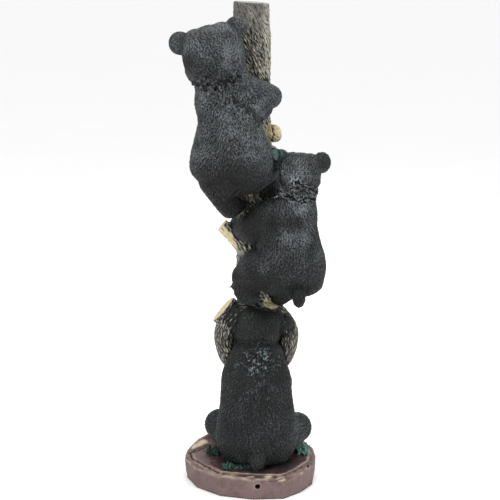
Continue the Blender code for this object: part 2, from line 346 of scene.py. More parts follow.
def unit_rows(rows: np.ndarray) -> np.ndarray:
    """Every row at length 1."""
    return rows / np.maximum(np.linalg.norm(rows, axis=1), 1e-9)[:, None]


def along_skin(flow: np.ndarray, normals: np.ndarray) -> np.ndarray:
    """What of a flow runs along the skin, at length 1."""
    return unit_rows(flow - (flow * normals).sum(axis=1)[:, None] * normals)


def gap_to_path(points: np.ndarray, path: Sequence[Sequence[float]]) -> np.ndarray:
    """The distance from each point to a path of straight stretches.

    Args:
        points: The points, with as many columns as the path has.
        path: The path's corners.

    Returns:
        One distance a point.
    """
    best = np.full(len(points), np.inf)
    corners = np.asarray(path, dtype=float)
    for start, end in zip(corners, corners[1:]):
        along = end - start
        share = np.clip((points - start) @ along / max(along @ along, 1e-12), 0, 1)
        best = np.minimum(best, np.linalg.norm(points - start - share[:, None] * along, axis=1))
    return best


# Clay: round shapes laid over each other and fused


@dataclass(frozen=True)
class Strand:
    """A stretch of body or limb, and the way in which the hair round it lies."""

    start: Vector
    end: Vector
    radius: float
    comb: Vector
    fan: float = 0.0


class Clay:
    """Closed shapes laid over each other, and then fused into one skin."""

    FINENESS = 4
    LIMB_STEP = 0.36
    TUMBLE = 0.7

    def __init__(self) -> None:
        """Models the one ball that every other is copied from."""
        deselect_all()
        bpy.ops.mesh.primitive_ico_sphere_add(subdivisions=self.FINENESS, radius=1.0)
        self.first = new_primitive("clay_ball")
        self.lumps: list[bpy.types.Object] = []

    def take(self, piece: bpy.types.Object) -> bpy.types.Object:
        """Adds a closed mesh object to the clay."""
        self.lumps.append(piece)
        return piece

    def ball(self, at: Sequence[float], radii: Sequence[float], turn: Matrix | None = None) -> None:
        """Lays a ball.

        Args:
            at: Its centre.
            radii: Its radius along each axis.
            turn: How it is turned about its centre.
        """
        laid = len(self.lumps)
        spin = Matrix.Rotation(laid * GOLDEN_ANGLE, 4, 'Z') @ Matrix.Rotation(laid * self.TUMBLE, 4, 'X')
        stretch = Matrix.Diagonal((*radii, 1.0)) @ spin
        place = Matrix.Translation(at) @ (turn or Matrix()).to_4x4() @ stretch
        self.take(copy_of(self.first, "clay_ball", place))

    def limb(self, stations: Sequence[tuple[Vector, float]]) -> None:
        """Lays a round limb through stations of (point, radius)."""
        for (start, start_radius), (end, end_radius) in zip(stations, stations[1:]):
            gap = (end - start).length
            count = max(1, math.ceil(gap / (self.LIMB_STEP * min(start_radius, end_radius))))
            for step in range(count + 1):
                radius = start_radius + step / count * (end_radius - start_radius)
                self.ball(start.lerp(end, step / count), (radius,) * 3)

    def peg(self, start: Vector, end: Vector, start_radius: float, end_radius: float) -> None:
        """Lays a tapered round peg with flat ends, such as a sawn branch."""
        deselect_all()
        turn = Vector((0, 0, 1)).rotation_difference(end - start)
        bpy.ops.mesh.primitive_cone_add(vertices=40, radius1=start_radius, radius2=end_radius,
                                        depth=(end - start).length, location=(start + end) / 2,
                                        rotation=turn.to_euler())
        settle(self.take(new_primitive("clay_peg")))

    def fuse(self, name: str, voxel: float, rounds: int) -> bpy.types.Object:
        """Fuses the clay into one skin.

        Args:
            name: The piece's name.
            voxel: The size of the skin's faces, in metres.
            rounds: How often the skin is smoothed.

        Returns:
            The piece.
        """
        bpy.data.objects.remove(self.first, do_unlink=True)
        piece = join(self.lumps, name)
        finish_with(piece, 'REMESH', mode='VOXEL', voxel_size=voxel, use_smooth_shade=True)
        finish_with(piece, 'SMOOTH', factor=0.5, iterations=rounds)
        return piece


# Nodes


Socket = bpy.types.NodeSocket


class Bench:
    """Lays nodes out in one tree."""

    def __init__(self, tree: bpy.types.NodeTree) -> None:
        """Keeps the tree."""
        self.tree = tree

    def feed(self, node: bpy.types.Node, inputs: dict[str | int, object]) -> None:
        """Gives each named input of a node a value or another node's output."""
        for name, value in inputs.items():
            if isinstance(value, bpy.types.NodeSocket):
                self.tree.links.new(value, node.inputs[name])
            else:
                node.inputs[name].default_value = value

    def add(self, kind: str, inputs: dict[str | int, object] | None = None,
            **settings: object) -> bpy.types.Node:
        """Adds a node.

        Args:
            kind: Blender's name for the kind of node.
            inputs: A value or another node's output for each named input.
            settings: The node's own values by name.

        Returns:
            The node.
        """
        made = self.tree.nodes.new(kind)
        for name, value in settings.items():
            setattr(made, name, value)
        self.feed(made, inputs or {})
        return made

    def mask(self, name: str) -> Socket:
        """A value that the mesh keeps at each point."""
        return self.add('ShaderNodeAttribute', attribute_name=name).outputs["Fac"]

    def place(self) -> Socket:
        """The point's place on the piece, in metres."""
        return self.add('ShaderNodeTexCoord').outputs["Object"]

    def math(self, operation: str, a: object, b: object = 0.0) -> Socket:
        """One sum of two values."""
        return self.add('ShaderNodeMath', {0: a, 1: b}, operation=operation).outputs[0]

    def ramp(self, value: Socket, low: float, high: float, start: float = 0.0, end: float = 1.0) -> Socket:
        """A value eased from start to end as another goes from low to high."""
        limits = {"From Min": low, "From Max": high, "To Min": start, "To Max": end}
        return self.add('ShaderNodeMapRange', {"Value": value, **limits},
                        interpolation_type='SMOOTHSTEP').outputs["Result"]

    def mix(self, share: object, first: object, second: object, blend: str = 'MIX') -> Socket:
        """A colour between two, by a share."""
        return self.add('ShaderNodeMix', {0: share, 6: first, 7: second}, data_type='RGBA',
                        blend_type=blend).outputs[2]

    def noise(self, scale: object, detail: float = 3.0, roughness: float = 0.55) -> Socket:
        """Noise of a scale in waves a metre, read at the point's place on the piece."""
        return self.add('ShaderNodeTexNoise', {"Vector": self.place(), "Scale": scale, "Detail": detail,
                                               "Roughness": roughness}).outputs["Fac"]


def colour(red: float, green: float, blue: float) -> tuple[float, float, float, float]:
    """A paint colour from the 0 to 255 values that a screen shows."""
    linear = [((c / 255 + 0.055) / 1.055) ** 2.4 if c > 10 else c / 255 / 12.92 for c in (red, green, blue)]
    return (*linear, 1.0)


class Effects:
    """The painter's effects that several finishes share, each made once as a node group."""

    NUMBER = 'NodeSocketFloat'
    TINT = 'NodeSocketColor'

    def __init__(self) -> None:
        """Makes the groups."""
        self.dry_brush = self.make_dry_brush()
        self.grain = self.make_grain()
        self.mottle = self.make_mottle()

    @staticmethod
    def start(name: str, takes: dict[str, str],
              gives: dict[str, str]) -> tuple[Bench, bpy.types.Node, bpy.types.Node]:
        """Begins a group.

        Args:
            name: The group's name.
            takes: The kind of each input.
            gives: The kind of each output.

        Returns:
            The bench, the group's input node and its output node.
        """
        tree = bpy.data.node_groups.new(name, 'ShaderNodeTree')
        for socket, kind in takes.items():
            tree.interface.new_socket(socket, in_out='INPUT', socket_type=kind)
        for socket, kind in gives.items():
            tree.interface.new_socket(socket, in_out='OUTPUT', socket_type=kind)
        bench = Bench(tree)
        return bench, bench.add('NodeGroupInput'), bench.add('NodeGroupOutput')

    def make_dry_brush(self) -> bpy.types.NodeTree:
        """Light paint dragged over the high strokes of a dark ground."""
        takes = {"Ground": self.TINT, "Paint": self.TINT, "Height": self.NUMBER, "Amount": self.NUMBER,
                 "Fleck": self.NUMBER}
        bench, given, result = self.start("dry_brush", takes, {"Color": self.TINT, "Mask": self.NUMBER})
        fleck = bench.noise(given.outputs["Fleck"], detail=3.0, roughness=0.6)
        shaken = bench.math('ADD', given.outputs["Height"],
                            bench.math('MULTIPLY', bench.math('SUBTRACT', fleck, 0.5), 2.5))
        worn = bench.ramp(bench.noise(48.0, detail=4.0, roughness=0.7), 0.34, 0.66, 0.76, 1.20)
        amount = bench.math('MULTIPLY', given.outputs["Amount"], worn)
        reached = bench.math('ADD', shaken, bench.math('MULTIPLY', bench.math('SUBTRACT', amount, 0.5), 0.8))
        caught = bench.ramp(reached, 0.05, 0.98)
        load = bench.math('ADD', bench.math('MULTIPLY', amount, 0.78), 0.11)
        shown = bench.math('MINIMUM', bench.math('MULTIPLY', caught, load), 1.0)
        painted = bench.mix(shown, given.outputs["Ground"], given.outputs["Paint"])
        glint = bench.math('MULTIPLY', bench.ramp(reached, 0.85, 1.35), bench.math('MULTIPLY', load, 0.55))
        painted = bench.mix(glint, painted, given.outputs["Paint"], 'ADD')
        bench.feed(result, {"Color": painted, "Mask": shown})
        return bench.tree

    def make_grain(self) -> bpy.types.NodeTree:
        """The fine tooth of cast resin under paint, as a height."""
        takes = {"Scale": self.NUMBER, "Strokes": self.NUMBER}
        bench, given, result = self.start("resin_grain", takes, {"Height": self.NUMBER})
        fine = bench.noise(given.outputs["Scale"], detail=3.0, roughness=0.6)
        height = bench.math('ADD', fine, bench.math('MULTIPLY', given.outputs["Strokes"], 0.8))
        bench.feed(result, {"Height": height})
        return bench.tree

    def make_mottle(self) -> bpy.types.NodeTree:
        """Two washes of colour that run into each other in patches."""
        takes = {"First": self.TINT, "Second": self.TINT, "Scale": self.NUMBER, "Share": self.NUMBER}
        bench, given, result = self.start("mottled_wash", takes, {"Color": self.TINT})
        patch = bench.noise(given.outputs["Scale"], detail=4.0, roughness=0.65)
        leaning = bench.math('ADD', patch, bench.math('SUBTRACT', given.outputs["Share"], 0.5))
        mixed = bench.mix(bench.ramp(leaning, 0.36, 0.66), given.outputs["First"], given.outputs["Second"])
        bench.feed(result, {"Color": mixed})
        return bench.tree

    def brush(self, bench: Bench, inputs: dict[str | int, object]) -> bpy.types.Node:
        """Places the dry brush in a material."""
        return bench.add('ShaderNodeGroup', inputs, node_tree=self.dry_brush)

    def wash(self, bench: Bench, first: Triple, second: Triple, scale: float, share: object) -> Socket:
        """Places a mottled wash of two paint colours in a material."""
        inputs = {"First": colour(*first), "Second": colour(*second), "Scale": scale, "Share": share}
        return bench.add('ShaderNodeGroup', inputs, node_tree=self.mottle).outputs["Color"]

    def tooth(self, bench: Bench, scale: float, stroke: object = 0.0) -> Socket:
        """Places the resin's grain in a material, over its strokes."""
        inputs = {"Scale": scale, "Strokes": stroke}
        return bench.add('ShaderNodeGroup', inputs, node_tree=self.grain).outputs["Height"]


def start_paint(name: str) -> tuple[bpy.types.Material, Bench, bpy.types.Node]:
    """Begins a material with a bare Principled shader.

    Args:
        name: The material's name.

    Returns:
        The material, its bench and its shader.
    """
    material = bpy.data.materials.new(name)
    material.use_nodes = True
    return material, Bench(material.node_tree), material.node_tree.nodes["Principled BSDF"]


def plug(bench: Bench, shader: bpy.types.Node, tint: Socket, roughness: object, height: Socket,
         depth: float) -> None:
    """Feeds a shader its colour, roughness and relief.

    Args:
        bench: The material's bench.
        shader: The Principled shader.
        tint: The colour.
        roughness: The roughness, plain or varying.
        height: The height of the relief.
        depth: How deep the relief is, in metres.
    """
    bump = bench.add('ShaderNodeBump', {"Height": height, "Strength": 0.8, "Distance": depth})
    bench.feed(shader, {"Base Color": tint, "Roughness": roughness, "Normal": bump.outputs["Normal"]})


@dataclass(frozen=True)
class CoatPaint:
    """Black resin dry-brushed with blue grey, warmer where the brush missed, darker in its pits and hollows
    as painted shade, and tan on the muzzle.
    """

    name: str
    ground: Triple = (13, 14, 15)
    warm_ground: Triple = (20, 20, 19)
    # Painted shade: near black for the pits between the hair strokes and the hollows of the coat
    hollow: Triple = (5, 5, 6)
    brushed: Triple = (122, 130, 134)
    mauve: Triple = (122, 120, 123)
    frosted: Triple = (140, 160, 163)
    tan: Triple = (112, 92, 72)
    tan_pit_shade: Triple = (62, 47, 36)
    roughness: float = 0.62
    shine: float = 0.18

    def mix(self, effects: Effects) -> bpy.types.Material:
        """Mixes the paint.

        Args:
            effects: The shared effects.

        Returns:
            The material.
        """
        material, bench, shader = start_paint(self.name)
        height = bench.mask("stroke")
        tanned = bench.mask("tan")
        ground = effects.wash(bench, self.ground, self.warm_ground, 9.0, 0.5)
        # Pits and hollows painted darker than the ground, as painted shade
        pit_shaded = bench.mix(bench.ramp(height, 0.50, 0.16), ground, colour(*self.hollow))
        brushed = effects.wash(bench, self.brushed, self.mauve, 15.0, 0.36)
        paint = bench.mix(bench.mask("frost"), brushed, colour(*self.frosted))
        coat = effects.brush(bench, {"Ground": pit_shaded, "Paint": paint, "Height": height,
                                     "Amount": bench.mask("brush"), "Fleck": 400.0}).outputs
        # The muzzle's pits are painted darker too, as painted shade
        muzzle = bench.mix(bench.ramp(height, 0.15, 0.8), colour(*self.tan_pit_shade), colour(*self.tan))
        shown = bench.mix(bench.ramp(tanned, 0.25, 0.75), coat["Color"], muzzle)
        rough = bench.ramp(coat["Mask"], 0.0, 1.0, self.roughness - 0.1, self.roughness + 0.1)
        plug(bench, shader, shown, rough, effects.tooth(bench, 430.0, height), 0.0010)
        bench.feed(shader, {"Specular IOR Level": self.shine})
        return material


@dataclass(frozen=True)
class BarkPaint:
    """Grey olive bark with dark scores, cream where the wood is cut, black where the coat's spray fell, and
    painted shade where the trunk meets the cubs.
    """

    name: str
    light: Triple = (150, 148, 135)
    olive: Triple = (106, 103, 98)
    ridge: Triple = (196, 193, 172)
    score: Triple = (30, 29, 28)
    cut: Triple = (204, 191, 154)
    cut_warm: Triple = (180, 164, 122)
    cut_grain: Triple = (104, 82, 58)
    # Black of the coat's spray, which also paints the shade where the trunk meets the cubs and round the
    # hollow
    spray_and_shade: Triple = (24, 24, 25)
    roughness: float = 0.68
    shine: float = 0.2

    def mix(self, effects: Effects) -> bpy.types.Material:
        """Mixes the paint.

        Args:
            effects: The shared effects.

        Returns:
            The material.
        """
        material, bench, shader = start_paint(self.name)
        height = bench.mask("stroke")
        wood = effects.wash(bench, self.olive, self.light, 34.0, bench.mask("pale"))
        lit = bench.mix(bench.ramp(height, 0.62, 0.98, 0.0, 0.80), wood, colour(*self.ridge))
        scored = bench.mix(bench.ramp(height, 0.62, 0.26), lit, colour(*self.score))
        cut = effects.wash(bench, self.cut, self.cut_warm, 55.0, 0.4)
        cut = bench.mix(bench.ramp(height, 0.30, 0.08), cut, colour(*self.cut_grain))
        bared = bench.mix(bench.ramp(bench.mask("cut"), 0.3, 0.7), scored, cut)
        # Black spray and painted shade, deeper in the scores
        sunk = bench.math('MULTIPLY', bench.math('SUBTRACT', height, 0.5), -1.1)
        spray_and_shade_depth = bench.math('ADD', bench.mask("spray_and_shade"), sunk)
        sprayed_and_shaded = bench.mix(bench.ramp(spray_and_shade_depth, 0.14, 0.85, 0.0, 0.95), bared, colour(*self.spray_and_shade))
        plug(bench, shader, sprayed_and_shaded, self.roughness, effects.tooth(bench, 360.0, height), 0.0007)
        bench.feed(shader, {"Specular IOR Level": self.shine})
        return material


@dataclass(frozen=True)
class RockPaint:
    """Mauve brown rock with pale edges, cream chips, dark red brown washed over its top, and painted shade
    and shadow round the cub's seat.
    """

    name: str
    mauve: Triple = (115, 95, 94)
    brown: Triple = (96, 80, 77)
    # Dark red brown of the top, which round the cub's seat also stands for painted shade
    top: Triple = (56, 38, 37)
    edge: Triple = (178, 160, 148)
    chip: Triple = (208, 190, 160)
    # Dark of the cracks, also the painted contact shadow along the rock's foot
    crack: Triple = (34, 25, 24)
    speck: Triple = (74, 62, 60)
    # Near black of the painted contact shadow under the cub's seat and its spray, also painted inside the
    # holes
    spray_and_shade: Triple = (20, 19, 20)
    roughness: float = 0.7
    shine: float = 0.2

    def mix(self, effects: Effects) -> bpy.types.Material:
        """Mixes the paint.

        Args:
            effects: The shared effects.

        Returns:
            The material.
        """
        material, bench, shader = start_paint(self.name)
        stone = effects.wash(bench, self.brown, self.mauve, 26.0, 0.55)
        speck = bench.ramp(bench.noise(330.0, detail=3.0), 0.44, 0.30)
        stone = bench.mix(bench.math('MULTIPLY', speck, 0.35), stone, colour(*self.speck))
        washed = bench.mix(bench.mask("wash"), stone, colour(*self.top))
        edged = bench.mix(bench.mask("edge"), washed, colour(*self.edge))
        # Cracks, and the painted contact shadow along the foot
        cracked = bench.mix(bench.mask("crack"), edged, colour(*self.crack))
        chipped = bench.mix(bench.mask("chip"), cracked, colour(*self.chip))
        # Painted contact shadow and spray round the seat, and painted shade in the holes
        sprayed_and_shaded = bench.mix(bench.mask("spray_and_shade"), chipped, colour(*self.spray_and_shade))
        plug(bench, shader, sprayed_and_shaded, self.roughness, effects.tooth(bench, 240.0), 0.0007)
        bench.feed(shader, {"Specular IOR Level": self.shine})
        return material


@dataclass(frozen=True)
class PlainPaint:
    """A paint of two close colours with a brushed light on what stands proud."""

    name: str
    deep: Triple
    light: Triple
    brushed: Triple
    amount: float
    roughness: float
    clear: float = 0.0

    def mix(self, effects: Effects) -> bpy.types.Material:
        """Mixes the paint.

        Args:
            effects: The shared effects.

        Returns:
            The material.
        """
        material, bench, shader = start_paint(self.name)
        wash = effects.wash(bench, self.deep, self.light, 160.0, 0.5)
        coat = effects.brush(bench, {"Ground": wash, "Paint": colour(*self.brushed), "Amount": self.amount,
                                     "Height": bench.mask("stroke"), "Fleck": 500.0}).outputs["Color"]
        plug(bench, shader, coat, self.roughness, effects.tooth(bench, 420.0), 0.0004)
        bench.feed(shader, {"Coat Weight": self.clear, "Coat Roughness": 0.12})
        return material


def dress(piece: bpy.types.Object, paint: bpy.types.Material, slot: Slot) -> None:
    """Paints a finished piece, hangs it on the body and hides the casting.

    Args:
        piece: The finished object.
        paint: Its material.
        slot: The record's slot, which is only logged.
    """
    piece.data.materials.clear()
    piece.data.materials.append(paint)
    piece.data.polygons.foreach_set("material_index", [0] * len(piece.data.polygons))
    for polygon in piece.data.polygons:
        polygon.use_smooth = True
    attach(piece, BODY)
    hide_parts(CASTING)
    log.info("%s: %d triangles, %s", piece.name, triangles_of(piece), slot.value)


# Cubs


@dataclass(frozen=True)
class Dab:
    """A soft patch of more or less dry brush on a cub's back, in hundredths of its height. Patches that take
    brush away low on a rump or under the head also paint in the shade there.
    """

    x: float
    z: float
    reach: float
    amount: float


@dataclass(frozen=True)
class Crease:
    """A ragged fold pressed into the back, along a path of (x, z) in hundredths of the cub's height, its
    groove painted dark as painted shade.
    """

    path: tuple[tuple[float, float], ...]
    depth: float
    width: float
    ragged: float = 1.0
    lip: float = 0.5
    frost: float = 0.0
    # How much brush the groove loses: painted shade in the fold
    dark: float = 0.7


@dataclass(frozen=True)
class Curls:
    """A patch of curled locks on the back, in hundredths of the cub's height: crests over dark pits."""

    x: float
    z: float
    across: float
    up: float
    depth: float
    bright: float
    frost: float


@dataclass
class Cub:
    """A cub, modelled in hundredths of its own height from the trunk's axis at the level of its seat."""

    name: str
    height: float
    level: float
    seed: int
    voxel: float = 0.00150
    hair_depth: float = 0.00048
    coarse_hair: Pair = (0.0023, 0.0042)
    fine_hair: Pair = (0.0015, 0.0026)
    brush_base: float = 0.6
    frost_base: float = 0.0
    dabs: tuple[Dab, ...] = ()
    creases: tuple[Crease, ...] = ()
    curls: tuple[Curls, ...] = ()
    strands: list[Strand] = field(default_factory=list)
    smooth_spots: list[tuple[Vector, float, float]] = field(default_factory=list)
    tan_spots: list[tuple[Vector, float]] = field(default_factory=list)
    noses: list[tuple[Vector, Matrix, float]] = field(default_factory=list)
    claws: list[tuple[Vector, Vector, float]] = field(default_factory=list)

    @property
    def unit(self) -> float:
        """A hundredth of the cub's height, in metres."""
        return self.height / 100

    def point(self, at: Sequence[float]) -> Vector:
        """A place on the statue from one in the cub's own frame."""
        return Vector((0, TRUNK_BACK, self.level)) + Vector(at) * self.unit

    def ball(self, at: Sequence[float], radii: Sequence[float], turn: Matrix | None = None) -> None:
        """Lays a ball in the cub's own frame."""
        self.clay.ball(self.point(at), [radius * self.unit for radius in radii], turn)

    def limb(self, *stations: tuple[float, float, float, float]) -> None:
        """Lays a limb from the shoulder or hip to the paw, its hair lying along it."""
        placed = [(self.point(station[:3]), station[3] * self.unit) for station in stations]
        self.clay.limb(placed)
        for (start, start_radius), (end, end_radius) in zip(placed, placed[1:]):
            comb = (end - start).normalized() + Vector((0, 0, -0.35))
            self.strands.append(Strand(start, end, 0.5 * (start_radius + end_radius), comb.normalized()))

    def mass(self, *stations: tuple[float, float, float, float, float, float]) -> None:
        """Lays a body through stations of a centre and three radii, from the seat to the nape."""
        steps = 5
        last = len(stations) - 1
        rows = np.array(stations)
        for step in range(steps * last + 1):
            place = step / steps
            i = min(int(place), last - 1)
            t = place - i
            before, start, end, after = (rows[max(0, min(last, i + k))] for k in (-1, 0, 1, 2))
            made = 0.5 * (2 * start + (end - before) * t + (2 * before - 5 * start + 4 * end - after) * t ** 2
                          + (3 * start - before - 3 * end + after) * t ** 3)
            self.ball(made[:3], made[3:])
        for low, high in zip(stations, stations[1:]):
            radius = 0.25 * (low[3] + low[4] + high[3] + high[4]) * self.unit
            self.strands.append(Strand(self.point(high[:3]), self.point(low[:3]), radius,
                                       Vector((0, 0, -1)), 0.55))

    def paw(self, at: Triple, radius: float, ahead: Triple, toes: int = 4) -> None:
        """Lays a round paw with its toes in a fan, and marks where its claws go."""
        self.ball(at, (radius, radius, radius * 0.9))
        forward = Vector(ahead).normalized()
        up = Vector((0, 0, 1)) if abs(forward.z) < 0.8 else Vector((0, 1, 0))
        side = forward.cross(up).normalized()
        for i in range(toes):
            fan = (i - (toes - 1) / 2) * 0.42
            reach = forward * math.cos(fan) + side * math.sin(fan) * 1.4
            toe = 0.40 * radius
            self.ball(Vector(at) + reach * radius * 0.78, (toe, toe, toe))
            tip = self.point(Vector(at) + reach * radius * 1.10 + Vector((0, 0, 0.10 * radius)))
            self.claws.append((tip, (reach + Vector((0, 0, -0.35))).normalized(), radius * self.unit))
        centre = self.point(at)
        front = centre + forward * radius * self.unit
        self.strands.append(Strand(centre, front, radius * self.unit, forward))
        self.smooth_spots.append((centre, radius * self.unit * 1.3, 0.5))

    def head(self, at: Triple, size: float, roll: float = 0.0, turn: float = 0.0, nod: float = 0.0,
             ear: Triple = (0.36, 0.17, 0.37), ears_at: tuple[float, float] = (0.89, 0.62)) -> None:
        """Lays a head that looks along +Y.

        Args:
            at: The middle of the skull.
            size: The skull's half width.
            roll: Its lean to the right, in degrees.
            turn: How far the muzzle turns left, in degrees.
            nod: How far the muzzle lifts, in degrees.
            ear: An ear's half width, half depth and half height, as shares of the size.
            ears_at: How far out and up an ear's middle is, as shares of the size.
        """
        pose = (Matrix.Rotation(math.radians(turn), 3, 'Z') @ Matrix.Rotation(math.radians(nod), 3, 'X')
                @ Matrix.Rotation(math.radians(roll), 3, 'Y'))

        def local(x: float, y: float, z: float) -> Vector:
            """A place in the cub's frame from one in the head's own."""
            return Vector(at) + pose @ Vector((x, y, z)) * size

        def lump(x: float, y: float, z: float, *radii: float) -> None:
            """Lays a ball in the head's own frame."""
            self.ball(local(x, y, z), [radius * size for radius in radii], pose)

        lump(0, 0, 0, 0.97, 0.92, 0.97)
        lump(0, 0.50, 0.26, 0.66, 0.48, 0.44)
        self.clay.limb([(self.point(local(0, 0.55, -0.14)), 0.50 * size * self.unit),
                        (self.point(local(0, 1.22, -0.27)), 0.30 * size * self.unit)])
        self.clay.limb([(self.point(local(0, 0.60, -0.38)), 0.34 * size * self.unit),
                        (self.point(local(0, 1.08, -0.46)), 0.20 * size * self.unit)])
        for side in (-1, 1):
            lump(side * 0.40, -0.02, 0.37, 0.55, 0.66, 0.59)
            lump(side * 0.42, 0.18, -0.30, 0.54, 0.66, 0.54)
            lump(side * 0.32, 0.86, 0.16, 0.14, 0.12, 0.13)
            lump(side * ears_at[0], 0.02, ears_at[1], *ear)
            self.smooth_spots.append((self.point(local(side * ears_at[0] * 1.05, 0, ears_at[1] * 1.05)),
                                      0.42 * size * self.unit, 0.12))
        nose = self.point(local(0, 1.42, -0.16))
        skull = self.point(local(0, 0, 0))
        away = (skull - nose).normalized()
        self.strands.append(Strand(skull, self.point(local(0, 0.3, 0)), size * self.unit,
                                   (0.75 * away + Vector((0, 0, -0.8))).normalized(), 0.3))
        self.strands.append(Strand(self.point(local(0, 0.6, -0.2)), nose, 0.4 * size * self.unit, away))
        self.smooth_spots.append((nose, 0.75 * size * self.unit, 0.35))
        self.tan_spots.append((self.point(local(0, 1.25, -0.30)), 0.62 * size * self.unit))
        self.noses.append((self.point(at), pose.copy(), size * self.unit))

    def tufts(self, centre: Triple, half_width: float, depth: float, drop: float, count: int,
              size: float) -> None:
        """Lays a row of pointed locks across the nape, hanging in a shallow curve."""
        for i in range(count):
            share = 2 * i / (count - 1) - 1
            root = Vector(centre) + Vector((half_width * share, depth * share * share, drop * share * share))
            tip = root + Vector((0.5 * share, -1.2, -2.6)) * size * 0.7
            self.clay.limb([(self.point(root), size * self.unit), (self.point(tip), 0.35 * size * self.unit)])

    def model(self) -> None:
        """Lays up the cub's clay."""
        raise NotImplementedError

    def comb(self, points: np.ndarray, normals: np.ndarray) -> np.ndarray:
        """The way the hair lies at each point, along the skin.

        Args:
            points: The skin's points.
            normals: The outward direction at each.

        Returns:
            One direction a point, of length 1.
        """
        blend = 0.006
        total = np.zeros_like(points)
        for strand in self.strands:
            start, end, comb = (np.array(v) for v in (strand.start, strand.end, strand.comb))
            along = end - start
            share = np.clip((points - start) @ along / max(along @ along, 1e-12), 0, 1)
            away = points - start - share[:, None] * along
            gap = np.linalg.norm(away, axis=1) - strand.radius
            weight = np.exp(-np.maximum(gap, -0.002) / blend)
            direction = np.tile(comb, (len(points), 1))
            direction[:, 0] += strand.fan * np.clip(away[:, 0] / strand.radius, -1, 1)
            total += weight[:, None] * direction
        total = unit_rows(total)
        for axis in range(3):
            total[:, axis] += 0.42 * noise(points, 0.030, self.seed + 11 + axis)
            total[:, axis] += 0.30 * noise(points, 0.011, self.seed + 17 + axis)
        return along_skin(total, normals)

    def back_view(self, points: np.ndarray) -> np.ndarray:
        """Each point's (x, z) in hundredths of the cub's height."""
        return np.stack([points[:, 0], points[:, 2] - self.level], axis=1) / self.unit

    def build(self) -> None:
        """Models the cub, presses its folds and raises its hair."""
        self.clay = Clay()
        self.model()
        self.piece = self.clay.fuse(self.name, self.voxel, rounds=7)
        points, normals = points_of(self.piece), normals_of(self.piece)
        behind = eased(-normals[:, 1], -0.1, 0.3)
        flat = self.back_view(points)
        shaken = flat + np.stack([noise(points, 0.006, self.seed + k) for k in (31, 32)], axis=1)
        pressed = np.zeros(len(points))
        frost = np.full(len(points), self.frost_base)
        brush = np.full(len(points), self.brush_base)
        for dab in self.dabs:
            gap = np.linalg.norm(flat - (dab.x, dab.z), axis=1)
            brush += dab.amount * band(gap, dab.reach)
        for crease in self.creases:
            gap = gap_to_path(flat + (shaken - flat) * 1.6 * crease.ragged, crease.path)
            groove = band(gap, crease.width)
            lip = band(gap - 2.1 * crease.width, crease.width)
            pressed += behind * crease.depth * (crease.lip * lip - groove)
            # The groove loses brush as painted shade; the lip takes more
            brush += behind * (0.40 * lip * crease.lip - crease.dark * groove)
            frost += behind * crease.frost * band(gap, 3.2 * crease.width)
        curl = 0.7 * noise(points * (0.6, 1.0, 1.15), 0.0044, self.seed + 41)
        curl += noise(points, 0.0026, self.seed + 42)
        for patch in self.curls:
            gap = np.hypot((flat[:, 0] - patch.x) / patch.across, (flat[:, 1] - patch.z) / patch.up)
            share = behind * np.exp(-gap ** 4)
            pressed += share * patch.depth * curl
            brush += share * (patch.bright * eased(curl, 0.0, 0.7) - 0.5 * eased(-curl, 0.1, 0.6))
            frost += share * patch.frost * eased(curl, -0.1, 0.5)
        # Painted shade: less brush where the skin turns away from behind, so the sides and edges read darker
        brush *= 0.5 + 0.5 * eased(-normals[:, 1], -0.1, 0.5)
        points += normals * (pressed * self.unit)[:, None]
        place_points(self.piece, points)
        self.raise_hair(brush, frost)

    def raise_hair(self, brush: np.ndarray, frost: np.ndarray) -> None:
        """Raises the hair in strokes and keeps what the paint reads.

        Args:
            brush: How much dry brush each point gets, less where shade is painted in.
            frost: How bluish it is.
        """
        points, normals = points_of(self.piece), normals_of(self.piece)
        flow = self.comb(points, normals)
        coarse = strokes(points, flow, *self.coarse_hair, self.seed + 1)
        fine = strokes(points, flow, *self.fine_hair, self.seed + 2)
        lie = np.ones(len(points))
        for centre, radius, share in self.smooth_spots:
            gap = np.linalg.norm(points - np.array(centre), axis=1) / radius
            lie *= 1 - (1 - share) * (1 - eased(gap, 0.75, 1.15))
        pits = noise(points, 0.0019, self.seed + 6) + 0.8 * noise(points, 0.0036, self.seed + 7)
        stroke = 0.30 * coarse + 0.75 * fine + 0.35 * pits / pits.std()
        stroke -= spread(self.piece, stroke, 7)
        stroke /= stroke.std()
        wander = 1 + 0.35 * noise(points, 0.018, self.seed + 3)
        points += normals * (np.clip(stroke, -2.2, 2.2) * self.hair_depth * lie * wander)[:, None]
        place_points(self.piece, points)
        tan = np.zeros(len(points))
        for centre, radius in self.tan_spots:
            gap = np.linalg.norm(points - np.array(centre), axis=1) / radius
            tan = np.maximum(tan, 1 - eased(gap + 0.12 * stroke, 0.75, 1.15))
        # Hollows are painted darker and take less brush, as painted shade
        hollow = convexity(self.piece, 14, 0.0035)
        height = 0.5 + 0.15 * stroke * (0.35 + 0.65 * lie) + 0.22 * np.minimum(hollow, 0)
        brush = brush * (0.6 + 0.4 * lie) * (1 + 0.35 * np.minimum(hollow, 0))
        brush += 0.12 * noise(points, 0.022, self.seed + 5)
        paint_mask(self.piece, "stroke", np.clip(height, 0, 1))
        paint_mask(self.piece, "brush", np.clip(brush, 0, 1.2))
        paint_mask(self.piece, "frost", np.clip(frost, 0, 1))
        paint_mask(self.piece, "tan", tan)
        thin(self.piece, MOST_TRIANGLES)


